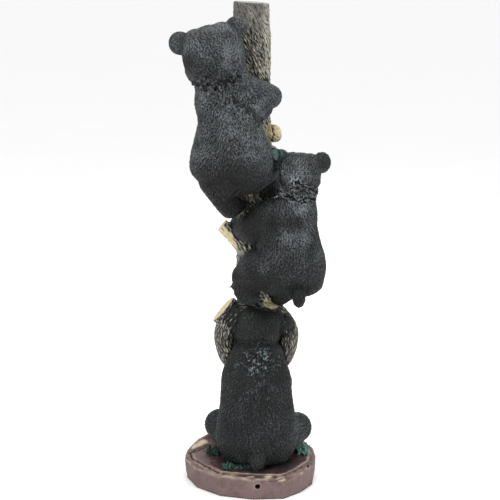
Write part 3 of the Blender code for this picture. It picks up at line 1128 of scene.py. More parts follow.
@dataclass
class TopCub(Cub):
    """The highest cub, climbing the trunk's left side, its right arm round the trunk."""

    def model(self) -> None:
        """Lays up the cub's clay."""
        self.mass((-7.5, -22, 18, 16, 12, 7), (-9.8, -23, 24, 20.8, 15, 8), (-9.8, -23.5, 31, 21.2, 15.5, 9),
                  (-10.3, -23, 39, 18.8, 14.5, 9), (-11, -22, 49, 16, 13, 9), (-11.6, -21, 58, 17.0, 12.5, 8),
                  (-13, -21, 66, 15.4, 12, 7), (-16.0, -22.5, 74, 14.0, 12.5, 7))
        self.head((-18.7, -24, 82.4), 16.3, roll=-14.6, turn=8, ears_at=(0.90, 0.65))
        self.limb((-3, -20, 63, 10.0), (6.3, -13, 61, 7.5), (10, -4, 60, 6.2), (6, 7, 60, 5.2))
        self.limb((4.5, -13, 56, 7.0), (-2, -18, 54, 9.0))
        self.paw((1, 12, 61), 5.2, (-1, 0.1, 0.2))
        self.limb((-21, -18, 59, 7.6), (-21, -4, 56, 6.4), (-13, 6, 57, 5.4))
        self.paw((-8, 10, 58), 5.2, (1, 0.2, 0.1))
        self.limb((-17.0, -24, 20, 9.9), (-14.0, -20, 10.0, 6.8), (-10.8, -17, 4, 5.8))
        self.paw((-9.5, -13, 4), 5.8, (0.2, 1, -0.15))
        self.limb((1, -20, 23, 10.0), (9, -8, 23, 7.0), (10.2, -3, 12, 5.6))
        self.paw((8, 2, 9), 5.4, (-0.8, 0.6, 0))
        self.ball((-12, -34.5, 17.0), (4.8, 4.0, 6.4))
        self.tufts((-17, -33.5, 71), 11, 8, 2, 6, 2.4)


@dataclass
class MiddleCub(Cub):
    """The cub on the trunk's right side, its left arm and leg across the front of the trunk."""

    def model(self) -> None:
        """Lays up the cub's clay."""
        self.mass((25.6, -24, 10.5, 20.8, 14, 9), (25.5, -25, 20, 22.8, 17.5, 9),
                  (25.3, -25.5, 28, 22.4, 18, 9), (24.3, -25, 38, 20.4, 16.5, 9),
                  (23.5, -25, 48, 19, 15.5, 9), (23.8, -25, 57, 18.6, 14.5, 8),
                  (28.6, -25, 65, 12.8, 12, 6), (30.6, -25, 72, 11.8, 11.5, 6))
        self.head((31.3, -25, 82.5), 13.6, roll=3.4, turn=-6, ear=(0.44, 0.24, 0.50), ears_at=(0.96, 0.57))
        self.limb((12, -25, 53, 12.5), (3.5, -21, 46, 11.0), (-5, -10, 44, 6.8), (-9, 0, 44, 5.4))
        self.paw((-8, 8, 45), 5.2, (0.8, 0.6, 0.1))
        self.limb((32, -22, 55, 9.5), (35, -8, 48, 7.6), (27, 6, 45, 6.2), (17, 13, 45, 5.4))
        self.paw((11, 14, 46), 5.4, (-1, -0.1, 0.2))
        self.limb((7, -25, 21, 14.2), (-2.4, -19, 14, 9.8), (-3.2, -17, 5, 8.0), (-0.5, -19, 1, 5.8))
        self.paw((-4, -13, 7), 7.0, (-0.5, 0.8, -0.2))
        self.limb((30, -18, 20, 14.0), (30, -4, 12, 9.0), (24, -6, 3, 7.4), (19, -8, -1, 6.4))
        self.paw((14, 0, -3), 6.0, (-0.9, 0.3, 0))
        self.ball((30.5, -39.5, 5.0), (4.2, 3.8, 6.6))
        self.tufts((30, -35.0, 72), 9, 6, -1, 5, 2.3)


@dataclass
class LowerCub(Cub):
    """The seated cub, its head in the trunk's round hollow and its arms round the trunk below it."""

    middle: float = 4.8

    def model(self) -> None:
        """Lays up the cub's clay."""
        middle = self.middle
        self.mass((3.8, -26, 6, 22.5, 18, 7), (3.8, -27, 16, 25.8, 20.5, 9), (3.8, -26, 26, 25.2, 20.5, 9),
                  (3.7, -25, 37, 23.4, 18.5, 9), (3.4, -24, 48, 22.4, 17, 9), (3.3, -22, 57, 21.6, 15, 7),
                  (3.4, -20, 64, 18.8, 13.5, 6), (4, -18, 72, 15.5, 13, 6))
        self.head((4.6, -11, 83), 15.4, roll=10.9, ear=(0.34, 0.20, 0.44), ears_at=(1.04, 0.39))
        for side in (-1, 1):
            self.limb((middle + side * 14.5, -19, 52, 6.6), (middle + side * 15.4, -6, 46, 6.2),
                      (middle + side * 12, 9, 47, 5.6))
            self.paw((middle + side * 8, 13, 49), 5.6, (-side, 0.15, 0.3))
            self.limb((middle + side * 12, -22, 14, 12.0), (middle + side * 24.6, -9, 18.5 - side, 9.8),
                      (middle + side * 21, 8, 13, 8.0), (middle + side * 17, 16, 5, 6.2))
            self.paw((middle + side * 16, 19, 4.5), 6.6, (side * 0.15, 1, -0.1))
        self.limb((4, -40, 10, 7.0), (4, -45.5, 5, 4.6), (4, -46.5, 1.5, 3.0))
        self.tufts((4.5, -34.0, 63), 12, 6, 2, 7, 2.5)


# Trunk


@dataclass
class Trunk:
    """The trunk: two lengths joined by a round hollow, with cut branches and a sawn top."""

    foot_radius: float = 0.040
    top_radius: float = 0.0338
    top_aside: float = 0.0017
    foot_aside: float = 0.0110
    bend: tuple[float, float] = (0.47, 0.76)
    flare: float = 0.018
    flare_height: float = 0.060
    roots: int = 6
    top_tilt: float = math.radians(3.5)
    hollow_radius: float = 0.0828
    hollow_rim: float = 0.0195
    hollow_depth: float = 0.030
    hollow_level: float = 0.2785
    hollow_ahead: float = 0.011
    cut_way: Triple = (-0.748, 0, 0.663)
    cut_reach: float = 0.0885
    branch_level: float = 0.5025
    knob_level: float = 0.684
    bare_spots: tuple[tuple[tuple[Triple, ...], float, float], ...] = (
        (((0.031, 0.012, 0.668), (0.034, 0.012, 0.712)), 0.013, 0.42),
        (((0.034, 0.012, 0.353), (0.044, 0.016, 0.350)), 0.015, 0.64),
        (((-0.061, 0.018, 0.499), (-0.046, 0.016, 0.482), (-0.033, 0.010, 0.455), (-0.029, 0.012, 0.415)),
         0.014, 0.80),
        (((-0.012, 0.004, 0.580), (-0.002, 0.004, 0.572)), 0.010, 0.9))
    seam: tuple[Pair, ...] = ((0.0400, 0.700), (0.0435, 0.686), (0.0400, 0.668))
    stub: tuple[Triple, Triple] = ((-0.055, 0.03, 0.507), (-0.020, 0.03, 0.470))
    ring_gap: float = 0.0042
    coarse_score: Pair = (0.0020, 0.0044)
    fine_score: Pair = (0.0014, 0.0032)
    sides: int = 120
    voxel: float = 0.00150
    most_triangles: int = MOST_TRIANGLES - 20000
    cuts: list[tuple[Vector, Vector, float, float]] = field(default_factory=list)

    def aside(self, level: np.ndarray) -> np.ndarray:
        """How far the axis stands to the right at each level."""
        share = eased(level, *self.bend)
        return self.foot_aside + share * (self.top_aside - self.foot_aside)

    def axis(self, level: float) -> Vector:
        """The axis at one level."""
        return Vector((float(self.aside(np.array([level]))[0]), TRUNK_BACK, level))

    def length(self, low: float, high: float, tilted: bool) -> None:
        """Lays one length of trunk between two levels.

        Args:
            low: The lower end.
            high: The upper end.
            tilted: Whether the upper end is the sawn top.
        """
        deselect_all()
        bpy.ops.mesh.primitive_cylinder_add(vertices=self.sides, radius=1.0, depth=1.0, location=(0, 0, 0.5))
        shaft = new_primitive("trunk_length")
        settle(shaft)
        cut_lengthwise(shaft, max(2, round((high - low) / 0.006)))
        points = points_of(shaft)
        angle = np.arctan2(points[:, 1], points[:, 0])
        level = low + (high - low) * points[:, 2]
        share = level / STATUE_HEIGHT
        radius = self.foot_radius + share * (self.top_radius - self.foot_radius)
        above = np.maximum(0.0, level - SLAB_THICKNESS)
        root = self.flare * np.exp(-2 * above / self.flare_height)
        root *= 0.55 + 0.45 * np.cos(self.roots * angle + 0.8)
        wander = 0.5 * np.sin(23 * level + 1.3) + 0.3 * np.sin(61 * level)
        swell = 0.0013 * np.sin(9 * (angle + 0.35 * wander)) + 0.0009 * np.sin(4 * angle + 31 * level)
        reach = radius + root + swell
        x = self.aside(level) + reach * np.cos(angle)
        if tilted:
            level = level - eased(points[:, 2], 0.9, 1.0) * math.tan(self.top_tilt) * x
        place_points(shaft, np.stack([x, TRUNK_BACK + reach * np.sin(angle), level], axis=1))
        self.clay.take(shaft)

    def hollow(self) -> None:
        """Lays the round hollow that the lower cub looks through, and its cut branch."""
        centre = self.axis(self.hollow_level) - Vector((0, self.hollow_ahead, 0))
        middle = self.hollow_radius - self.hollow_rim
        deselect_all()
        bpy.ops.mesh.primitive_torus_add(major_segments=120, minor_segments=40, major_radius=middle,
                                         minor_radius=self.hollow_rim, rotation=(math.pi / 2, 0, 0))
        ring = new_primitive("trunk_hollow")
        settle(ring)
        points = points_of(ring)
        angle = np.arctan2(points[:, 2], points[:, 0])
        thick = 1 + 0.25 * np.abs(np.sin(angle)) ** 3 + 0.04 * np.sin(5 * angle)
        points[:, 1] *= self.hollow_depth / self.hollow_rim * thick
        points *= (1 + 0.010 * np.sin(7 * angle))[:, None]
        place_points(ring, points + np.array(centre))
        self.clay.take(ring)
        up_left = Vector(self.cut_way)
        self.clay.peg(centre + up_left * middle * 0.6, centre + up_left * self.cut_reach, 0.0325, 0.0295)
        self.clay.ball((-0.034, 0.036, 0.270), (0.015, 0.016, 0.019))
        # A swelling by the middle cub's shoulder fills the gap there, and the spray mask paints it black as
        # painted shade
        self.clay.ball((0.044, 0.036, 0.579), (0.011, 0.012, 0.012))
        self.cuts.append((centre + up_left * self.cut_reach, up_left, 0.034, 0.010))

    def branches(self) -> None:
        """Lays the branch under the top cub's foot, the knob beside its hip and the sprig's stalk."""
        level = self.branch_level
        axis = self.axis(level) - Vector((0, 0.012, level))
        root = axis + Vector((0.004, 0, level - 0.056))
        tip = axis + Vector((-0.067, -0.004, level + 0.004))
        self.clay.limb([(root, 0.025), (root.lerp(tip, 0.45), 0.0195), (root.lerp(tip, 0.75), 0.0145)])
        self.clay.peg(root.lerp(tip, 0.6), tip, 0.0156, 0.0125)
        self.cuts.append((tip, (tip - root).normalized(), 0.020, 0.006))
        axis = self.axis(self.knob_level) - Vector((0, 0.012, 0))
        knob = axis + Vector((0.0385, 0, 0.002))
        self.clay.ball(knob, (0.0175, 0.0150, 0.0172))
        self.clay.ball(knob + Vector((0.004, 0, -0.004)), (0.0140, 0.0125, 0.0135))
        self.knob = knob
        sprig = axis + Vector((0.022, 0.004, -0.024))
        self.clay.limb([(sprig, 0.011), (sprig + Vector((0.030, -0.010, -0.014)), 0.007)])

    def build(self, cubs: Sequence[Cub]) -> None:
        """Models the trunk, scores its bark and drifts the coat's black spray and painted shade over it.

        Args:
            cubs: The finished cubs, which the spray and the painted shade come from.
        """
        self.clay = Clay()
        middle = self.hollow_radius - self.hollow_rim
        self.length(SLAB_THICKNESS / 2, self.hollow_level - middle, tilted=False)
        self.length(self.hollow_level + middle, STATUE_HEIGHT, tilted=True)
        self.hollow()
        self.branches()
        self.piece = self.clay.fuse("trunk_bark", self.voxel, rounds=4)
        self.score(cubs)

    def comb(self, points: np.ndarray, normals: np.ndarray) -> np.ndarray:
        """The way the bark's scores run: aslant down the shaft, and round the hollow.

        Args:
            points: The bark's points.
            normals: The outward direction at each.

        Returns:
            One direction a point, of length 1.
        """
        round_about = np.stack([-normals[:, 1], normals[:, 0], np.zeros(len(points))], axis=1)
        flow = 0.62 * round_about + np.array([0.0, 0.0, -1.0])
        centre = np.array(self.axis(self.hollow_level))
        away = points - centre
        away[:, 1] = 0
        gap = np.linalg.norm(away, axis=1)
        about = np.stack([-away[:, 2], np.zeros(len(points)), away[:, 0]], axis=1)
        about /= np.maximum(gap, 1e-9)[:, None]
        about *= -np.sign(away[:, :1])
        near = 1 - eased(gap, self.hollow_radius, self.hollow_radius + 0.02)
        flow = flow * (1 - near)[:, None] + about * near[:, None]
        for axis in range(3):
            flow[:, axis] += 0.35 * noise(points, 0.020, 401 + axis)
        return along_skin(flow, normals)

    def score(self, cubs: Sequence[Cub]) -> None:
        """Scores the bark and keeps what the paint reads.

        Args:
            cubs: The finished cubs.
        """
        points, normals = points_of(self.piece), normals_of(self.piece)
        flow = self.comb(points, normals)
        coarse = strokes(points, flow, *self.coarse_score, 501)
        fine = strokes(points, flow, *self.fine_score, 502)
        stroke = 0.35 * coarse + 0.80 * fine
        stroke -= 0.7 * spread(self.piece, stroke, 9)
        stroke /= stroke.std()
        cut = np.zeros(len(points))
        for at, way, reach, depth in self.cuts:
            offset = points - np.array(at)
            along = offset @ np.array(way)
            across = np.linalg.norm(offset - along[:, None] * np.array(way), axis=1)
            facing = eased(normals @ np.array(way), 0.45, 0.75)
            cut = np.maximum(cut, facing * (across < reach) * (along > -depth))
        top = eased(normals[:, 2], 0.6, 0.85) * (points[:, 2] > STATUE_HEIGHT - 0.012)
        pith = np.hypot(points[:, 0] - 0.006, points[:, 1] - TRUNK_BACK - 0.004)
        pith += 0.0008 * noise(points, 0.012, 520)
        rings = np.sin(2 * math.pi * pith / self.ring_gap)
        knob_gap = np.linalg.norm(points - np.array(self.knob), axis=1)
        cut = np.maximum(cut, 0.62 * (1 - eased(knob_gap, 0.017, 0.023)))
        bare = np.zeros(len(points))
        for path, radius, share in self.bare_spots:
            gap = gap_to_path(points, path) + 0.002 * noise(points, 0.008, 521)
            bare = np.maximum(bare, share * (1 - eased(gap, 0.6 * radius, 1.2 * radius)))
        cut = np.maximum(cut, bare)
        seam = band(gap_to_path(points[:, [0, 2]], self.seam), 0.0016)
        seam *= eased(-normals[:, 1], -0.2, 0.2)
        smooth = 1 - 0.55 * eased(points[:, 2], 0.86, 0.91)
        scored = 0.00085 * np.clip(stroke, -2.4, 2.0) * (1 - 0.6 * cut) * smooth
        lift = np.where(top > 0.5, 0.00022 * rings, scored) - 0.0026 * seam
        points += normals * lift[:, None]
        place_points(self.piece, points)
        height = np.where(top > 0.5, 0.62 + 0.30 * rings, 0.5 + 0.24 * stroke * smooth) - 0.8 * seam
        paint_mask(self.piece, "stroke", np.clip(height, 0, 1))
        paint_mask(self.piece, "cut", np.clip(cut * (1 - top), 0, 1))
        centre = np.array(self.axis(self.hollow_level))
        ring = np.linalg.norm((points - centre)[:, [0, 2]], axis=1)
        on_ring = 1 - eased(ring, self.hollow_radius, self.hollow_radius + 0.015)
        stub = 1 - eased(gap_to_path(points, self.stub), 0.018, 0.034)
        pale = 0.35 + 0.35 * eased(points[:, 0], 0.010, 0.034) + 0.2 * noise(points, 0.03, 530) + 0.3 * stub
        outer = eased(ring, self.hollow_radius - 0.006, self.hollow_radius)
        outer *= 0.5 + 0.5 * eased(points[:, 0], 0.0, 0.04)
        # The ring is painted darker towards the cub's head and paler at its outer rim, partly as painted
        # shade in the hollow
        pale -= on_ring * (0.95 - 0.75 * outer)
        paint_mask(self.piece, "pale", pale)
        # Spray and painted shade: wider by the middle cub's shoulder, and over the ring round the lower cub's
        # head
        reach = 0.008 + 0.007 * eased(points[:, 2], 0.52, 0.60) + 0.010 * band(points[:, 2] - 0.580, 0.03)
        spray_and_shade = np.clip(spray_and_shade_from(points, cubs, reach, 540) + 0.42 * on_ring, 0, 1)
        paint_mask(self.piece, "spray_and_shade", spray_and_shade * (1 - bare))
        thin(self.piece, self.most_triangles)


def spray_and_shade_from(points: np.ndarray, cubs: Sequence[Cub], reach: float | np.ndarray, seed: int) -> np.ndarray:
    """How much of the coat's black spray, and of the painted shade beside the cubs, lies on points near them.

    The spray came from behind the cubs and from before them, so it drifted further along Y.

    Args:
        points: The points that catch it.
        cubs: The finished cubs.
        reach: How far the spray drifts, in metres, for all points or for each.
        seed: Which noise breaks its edge.

    Returns:
        One value a point, 1 where it is black.
    """
    far = float(np.max(reach))
    best = np.full(len(points), far)
    squeeze = np.array([1.0, 0.3, 1.0])
    caught = points * squeeze
    for cub in cubs:
        skin = points_of(cub.piece) * squeeze
        inside = (caught > skin.min(axis=0) - far) & (caught < skin.max(axis=0) + far)
        tree = KDTree(len(skin) // 3 + 1)
        for i in range(0, len(skin), 3):
            tree.insert(skin[i], i)
        tree.balance()
        for i in np.flatnonzero(inside.all(axis=1)):
            best[i] = min(best[i], tree.find(caught[i])[2])
    share = best / reach + 0.25 * noise(points, 0.007, seed) + 0.20 * noise(points, 0.020, seed + 1)
    return 1 - eased(share, 0.05, 1.0)


# Rock


@dataclass
class RockLines:
    """What the rock's shape and its paint both read at each point.

    The gaps to the crack, the ledge and the layered front edge are in metres. The rest goes from 0 to 1, but
    for wobble, which is the point itself a little astray, and streaks, which goes from -1 to 1.
    """

    upward: np.ndarray
    wobble: np.ndarray
    crack: np.ndarray
    ledge: np.ndarray
    front: np.ndarray
    low: np.ndarray
    streaks: np.ndarray


@dataclass
class Rock:
    """The slab of rock: an irregular outline with a leaning profile, chipped at its rim."""

    radius: float = 0.132
    outline: tuple[Triple, ...] = (
        (-178, 0.99, 1.02), (-150, 0.955, 1.06), (-119, 0.96, 1.06), (-88, 1.0, 1.10), (-63, 1.08, 1.06),
        (-44, 1.025, 1.08), (-20, 1.005, 1.12), (8, 1.0, 1.16), (34, 1.07, 1.16), (63, 1.0, 1.05),
        (92, 0.97, 1.02), (124, 1.12, 1.38), (152, 1.08, 1.24))
    profile: tuple[Pair, ...] = ((0.0, 0.972), (0.30, 0.985), (0.88, 1.0), (1.0, 0.90))
    chips: tuple[Triple, ...] = (
        (-170, 0.003, 30), (-134, 0.003, 34), (-104, 0.003, 30), (-76, 0.003, 34), (-53, 0.004, 28),
        (-33, 0.004, 36), (-6, 0.004, 45), (22, 0.006, 44), (50, 0.004, 35), (78, 0.005, 50),
        (108, 0.006, 40), (138, 0.006, 44), (165, 0.005, 50))
    crack: tuple[Pair, ...] = ((-0.1190, 0.004), (-0.1175, -0.012), (-0.0893, -0.0630), (-0.0600, -0.1000))
    ledge: tuple[Pair, ...] = ((-0.121, 0.012), (-0.106, 0.026), (-0.094, 0.044), (-0.084, 0.050))
    cream: tuple[Pair, ...] = ((-0.112, 0.033), (-0.101, 0.052), (-0.094, 0.064))
    low_line: tuple[Triple, ...] = ((0.020, -0.128, 0.036), (0.045, -0.126, 0.037), (0.062, -0.122, 0.040))
    drills: tuple[tuple[Triple, Triple, float], ...] = (
        ((0.013, -0.160, 0.0275), (0.013, -0.115, 0.0275), 0.0048),
        ((0.1145, -0.0700, 0.0460), (0.1070, -0.0470, 0.0395), 0.0026))
    voxel: float = 0.00160

    def blank(self) -> bpy.types.Object:
        """Models the slab as flat facets."""
        deselect_all()
        count = len(self.outline)
        bpy.ops.mesh.primitive_cylinder_add(vertices=count, radius=1.0, depth=1.0, location=(0, 0, 0.5))
        slab = new_primitive("rock_slab")
        settle(slab)
        cut_lengthwise(slab, len(self.profile) - 2)
        points = points_of(slab)
        angle = np.arctan2(points[:, 0], points[:, 1])
        corner = np.round(angle / (2 * math.pi / count)).astype(int) % count
        row = np.round(points[:, 2] * (len(self.profile) - 1)).astype(int)
        for i, (c, r) in enumerate(zip(corner, row)):
            turn, share, rise = self.outline[(-c) % count]
            lift, spread_out = self.profile[r]
            at_end = r in (0, len(self.profile) - 1)
            chip = 0.0 if at_end else 0.05 * math.sin(2.4 * ((-c) % count) + 9 * lift)
            reach = self.radius * share * spread_out * (1 + 0.25 * chip)
            points[i] = (reach * math.cos(math.radians(turn)), reach * math.sin(math.radians(turn)),
                         SLAB_THICKNESS * lift * rise * (1 + chip))
        place_points(slab, points)
        bpy.context.tool_settings.mesh_select_mode = (False, False, True)
        bpy.ops.object.mode_set(mode='EDIT')
        bpy.ops.mesh.select_all(action='SELECT')
        bpy.ops.mesh.quads_convert_to_tris()
        bpy.ops.object.mode_set(mode='OBJECT')
        return slab

    def chip_rim(self, slab: bpy.types.Object) -> None:
        """Strikes flat chips off the rim."""
        for turn, depth, lean in self.chips:
            about, up = math.radians(turn), math.radians(lean)
            way = Vector((math.cos(about) * math.cos(up), math.sin(about) * math.cos(up), math.sin(up)))
            far = max(way.dot(vertex.co) for vertex in slab.data.vertices)
            hold(slab)
            bpy.ops.object.mode_set(mode='EDIT')
            bpy.ops.mesh.select_all(action='SELECT')
            bpy.ops.mesh.bisect(plane_co=way * (far - depth), plane_no=way, use_fill=True, clear_outer=True)
            bpy.ops.object.mode_set(mode='OBJECT')

    def line(self, lift: float, spread_out: float, first: int = 0, last: int | None = None) -> np.ndarray:
        """The line through the outline's corners at one share of the thickness and of the width."""
        corners = self.outline[first:last] if last else (*self.outline[first:], self.outline[0])
        return np.array([(self.radius * share * spread_out * math.cos(math.radians(turn)),
                          self.radius * share * spread_out * math.sin(math.radians(turn)),
                          SLAB_THICKNESS * lift * rise) for turn, share, rise in corners])

    def lines(self, points: np.ndarray, normals: np.ndarray) -> RockLines:
        """Finds the rock's lines.

        Args:
            points: The rock's points.
            normals: The outward direction at each.

        Returns:
            The lines, one value a point each.
        """
        wobble = points + 0.0013 * np.stack([noise(points, 0.010, 611 + k) for k in range(3)], axis=1)
        return RockLines(
            upward=eased(normals[:, 2], 0.3, 0.7), wobble=wobble,
            crack=gap_to_path(wobble[:, :2], self.crack), ledge=gap_to_path(wobble[:, :2], self.ledge),
            front=gap_to_path(points[:, :2], self.line(1.0, 0.95, 2, 5)[:, :2]),
            low=band(gap_to_path(wobble, self.low_line), 0.0016),
            streaks=noise(points * (0.22, 1.0, 1.6), 0.0036, 640))

    def build(self, cubs: Sequence[Cub]) -> None:
        """Models the slab, its cracks, chips and holes.

        Args:
            cubs: The finished cubs, whose black spray and painted shadow it takes.
        """
        slab = self.blank()
        self.chip_rim(slab)
        finish_with(slab, 'REMESH', mode='VOXEL', voxel_size=self.voxel, use_smooth_shade=True)
        finish_with(slab, 'SMOOTH', factor=0.5, iterations=1)
        self.piece = slab
        points, normals = points_of(slab), normals_of(slab)
        lines = self.lines(points, normals)
        crack = lines.upward * band(lines.crack, 0.0023)
        ledge = lines.upward * band(lines.ledge, 0.0030)
        layers = lines.upward * band(lines.front, 0.0060, 4)
        facet = 0.0012 * noise(points, 0.026, 601) + 0.0007 * noise(points, 0.011, 602)
        facet += 0.0003 * noise(points, 0.0045, 603)
        under = eased(points[:, 2], 0.0005, 0.006)
        lift = facet + 0.0011 * layers * lines.streaks - 0.0048 * crack - 0.0016 * lines.low - 0.0060 * ledge
        lift *= under
        points += normals * lift[:, None]
        place_points(slab, points)
        self.bore(slab)
        self.paint_masks(cubs)

    def bore(self, slab: bpy.types.Object) -> None:
        """Bores the drain hole and the small vent beside it."""
        for start, end, radius in self.drills:
            deselect_all()
            start, end = Vector(start), Vector(end)
            turn = Vector((0, 0, 1)).rotation_difference(end - start)
            bpy.ops.mesh.primitive_cylinder_add(vertices=32, radius=radius, depth=(end - start).length,
                                                location=(start + end) / 2, rotation=turn.to_euler())
            drill = new_primitive("drill")
            settle(drill)
            finish_with(slab, 'BOOLEAN', operation='DIFFERENCE', solver='EXACT', object=drill)
            bpy.data.objects.remove(drill, do_unlink=True)

    def paint_masks(self, cubs: Sequence[Cub]) -> None:
        """Keeps what the rock's paint reads.

        Args:
            cubs: The finished cubs.
        """
        slab = self.piece
        points, normals = points_of(slab), normals_of(slab)
        lines = self.lines(points, normals)
        upward = lines.upward
        broken = 0.5 + 0.5 * noise(points, 0.009, 621)
        edge = np.maximum.reduce([
            band(gap_to_path(lines.wobble, self.line(1.0, 0.90)), 0.0022),
            band(gap_to_path(lines.wobble, self.line(0.88, 1.0)), 0.0024),
            0.6 * np.clip(convexity(slab, 8, 0.0010), 0, 1) * eased(points[:, 2], 0.010, 0.020),
            0.55 * upward * band(lines.crack - 0.0050, 0.0017)])
        crack = upward * band(lines.crack, 0.0026)
        ledge = upward * band(lines.ledge, 0.0048)
        # Painted contact shadow: a dark line along the foot of the rock, kept in the crack mask
        foot = 0.55 * (1 - eased(points[:, 2], 0.0008, 0.0030))
        # Painted shade: the top's wash deepens round the lower cub's seat
        near = spray_and_shade_from(points, cubs[-1:], 0.042, 630) * upward
        layers = upward * band(lines.front, 0.0070, 4)
        chip = layers * eased(lines.streaks, -0.35, 0.50) * (0.34 + 0.26 * eased(points[:, 0], 0.0, 0.02))
        cream = band(gap_to_path(lines.wobble[:, :2], self.cream), 0.0075, 4) * (0.60 + 0.40 * broken)
        grain = noise(points * (0.5, 1.0, 1.0), 0.007, 641)
        # Painted shade: the drilled holes are painted black inside
        bore_shade = np.zeros(len(points))
        for start, end, radius in self.drills:
            bore_shade = np.maximum(bore_shade, gap_to_path(points, (start, end)) < 1.02 * radius)
        # Painted contact shadow under the seat, with the coat's spray
        spray_and_shade = 0.90 * upward * (1 - 0.85 * layers) * spray_and_shade_from(points, cubs[-1:], 0.016, 631)
        paint_mask(slab, "edge", np.clip(edge * (0.25 + 0.75 * broken), 0, 0.85))
        paint_mask(slab, "crack", np.clip(np.maximum.reduce([crack, ledge, 0.7 * lines.low, foot]), 0, 0.92))
        paint_mask(slab, "wash", np.clip(upward * (0.22 + 0.14 * grain + 1.2 * near), 0, 1))
        paint_mask(slab, "chip", np.clip(np.maximum(chip, cream) - crack - 1.4 * ledge, 0, 0.92))
        paint_mask(slab, "spray_and_shade", np.maximum(spray_and_shade, bore_shade))


# Leaves


@dataclass(frozen=True)
class Patch:
    """A patch of grass blades on the rock."""

    name: str
    x: Pair
    y: Pair
    count: int
    tall: Pair
    light: float


@dataclass
class Leaves:
    """Short cast blades of grass round the cub's seat, and a leaf sprig on the trunk."""

    patches: tuple[Patch, ...] = (
        Patch("grass_left", (-0.084, -0.056), (-0.006, 0.030), 74, (0.010, 0.017), 0.10),
        Patch("grass_front", (-0.052, 0.001), (-0.094, -0.052), 130, (0.008, 0.014), 0.62),
        Patch("grass_right", (0.092, 0.112), (-0.014, 0.026), 52, (0.010, 0.016), 3.2),
        Patch("grass_far", (-0.06, 0.075), (0.088, 0.112), 70, (0.010, 0.018), 0.8))
    sprig: tuple[tuple[Triple, Triple, float, float], ...] = (
        ((0.030, 0.016, 0.664), (0.55, -0.35, -0.75), 0.030, 0.2),
        ((0.026, 0.004, 0.660), (0.25, -0.55, -0.80), 0.028, 0.9),
        ((0.036, 0.012, 0.656), (0.85, -0.25, -0.45), 0.026, -0.4),
        ((0.024, 0.002, 0.650), (0.45, -0.45, -0.77), 0.030, 0.4),
        ((0.030, 0.034, 0.660), (0.60, 0.45, -0.66), 0.030, 2.6),
        ((0.020, 0.050, 0.654), (0.40, 0.75, -0.52), 0.028, 3.0),
        ((0.045, -0.034, 0.664), (0.05, -0.28, -0.95), 0.022, 0.1),
        ((0.052, -0.033, 0.663), (0.40, -0.25, -0.88), 0.020, -0.3))
    sprig_light: float = 0.85
    sunk: float = 0.0015
    pieces: list[bpy.types.Object] = field(default_factory=list)

    def blade(self) -> bpy.types.Object:
        """Models one blade: a tapering strip with a raised rib, bent over at its tip."""
        blade = tapered_shaft("grass_blade", 6, 0.16, 0.02, cuts=3)
        points = points_of(blade)
        points[:, 1] *= 0.45
        points[:, :2] *= (1 + 0.7 * np.sin(math.pi * np.clip(points[:, 2], 0, 1)))[:, None]
        points[:, 1] += 0.42 * points[:, 2] ** 2
        place_points(blade, points)
        return blade

    def plant(self, first: bpy.types.Object, name: str, roots: Sequence[tuple[Vector, Vector, float, float]],
              light: float) -> bpy.types.Object:
        """Copies the blade to its places and joins them.

        Args:
            first: The modelled blade.
            name: The piece's name.
            roots: For each blade its root, the way it points, its length and its turn.
            light: How much of the light paint the blades caught.

        Returns:
            The joined piece.
        """
        made = []
        for root, way, tall, turn in roots:
            pose = upright_to(way) @ Matrix.Rotation(turn, 4, 'Z')
            place = Matrix.Translation(root) @ pose @ Matrix.Scale(tall, 4)
            made.append(copy_of(first, "grass_blade", place))
        piece = join(made, name)
        points = points_of(piece)
        lowest = np.repeat(np.array([root.z for root, *_ in roots]), len(first.data.vertices))
        height = np.clip((points[:, 2] - lowest) / 0.014, 0, 1)
        paint_mask(piece, "stroke", (0.20 + 0.60 * height) * light)
        return piece

    def build(self, rock: Rock) -> None:
        """Plants the patches and the sprig.

        Args:
            rock: The slab that the patches stand on.
        """
        draw = np.random.default_rng(71)
        first = self.blade()
        tree = BVHTree.FromObject(rock.piece, bpy.context.evaluated_depsgraph_get())
        for patch in self.patches:
            roots = []
            for _ in range(patch.count):
                x, y = draw.uniform(*patch.x), draw.uniform(*patch.y)
                ground = tree.ray_cast(Vector((x, y, 0.2)), Vector((0, 0, -1)))[0]
                if ground is None:
                    continue
                way = Vector((draw.normal(0, 0.45) + 4 * x, draw.normal(0, 0.45) + 4 * y, 1.0)).normalized()
                tall, turn = draw.uniform(*patch.tall), draw.uniform(0, 6.28)
                roots.append((ground - Vector((0, 0, self.sunk)), way, tall, turn))
            self.pieces.append(self.plant(first, patch.name, roots, patch.light))
        bpy.data.objects.remove(first, do_unlink=True)
        broad = self.broad_leaf()
        sprig = [(Vector(at), Vector(way).normalized(), tall, turn) for at, way, tall, turn in self.sprig]
        self.pieces.append(self.plant(broad, "leaf_sprig", sprig, self.sprig_light))
        bpy.data.objects.remove(broad, do_unlink=True)

    def broad_leaf(self) -> bpy.types.Object:
        """Models one broad leaf: an oval cushion with a pressed midrib, curled at its tip."""
        deselect_all()
        bpy.ops.mesh.primitive_uv_sphere_add(segments=28, ring_count=20, radius=0.5, location=(0, 0, 0.5))
        leaf = new_primitive("broad_leaf")
        settle(leaf)
        points = points_of(leaf)
        rise = points[:, 2].copy()
        points[:, 0] *= 0.78 * (1 - 0.35 * rise)
        rib = np.exp(-(points[:, 0] / 0.05) ** 2) + 0.5 * np.abs(np.sin(9 * rise + 6 * np.abs(points[:, 0])))
        points[:, 1] *= 0.26
        points[:, 1] += np.sign(points[:, 1]) * -0.025 * rib + 0.30 * rise ** 2
        place_points(leaf, points)
        return leaf


# Faces


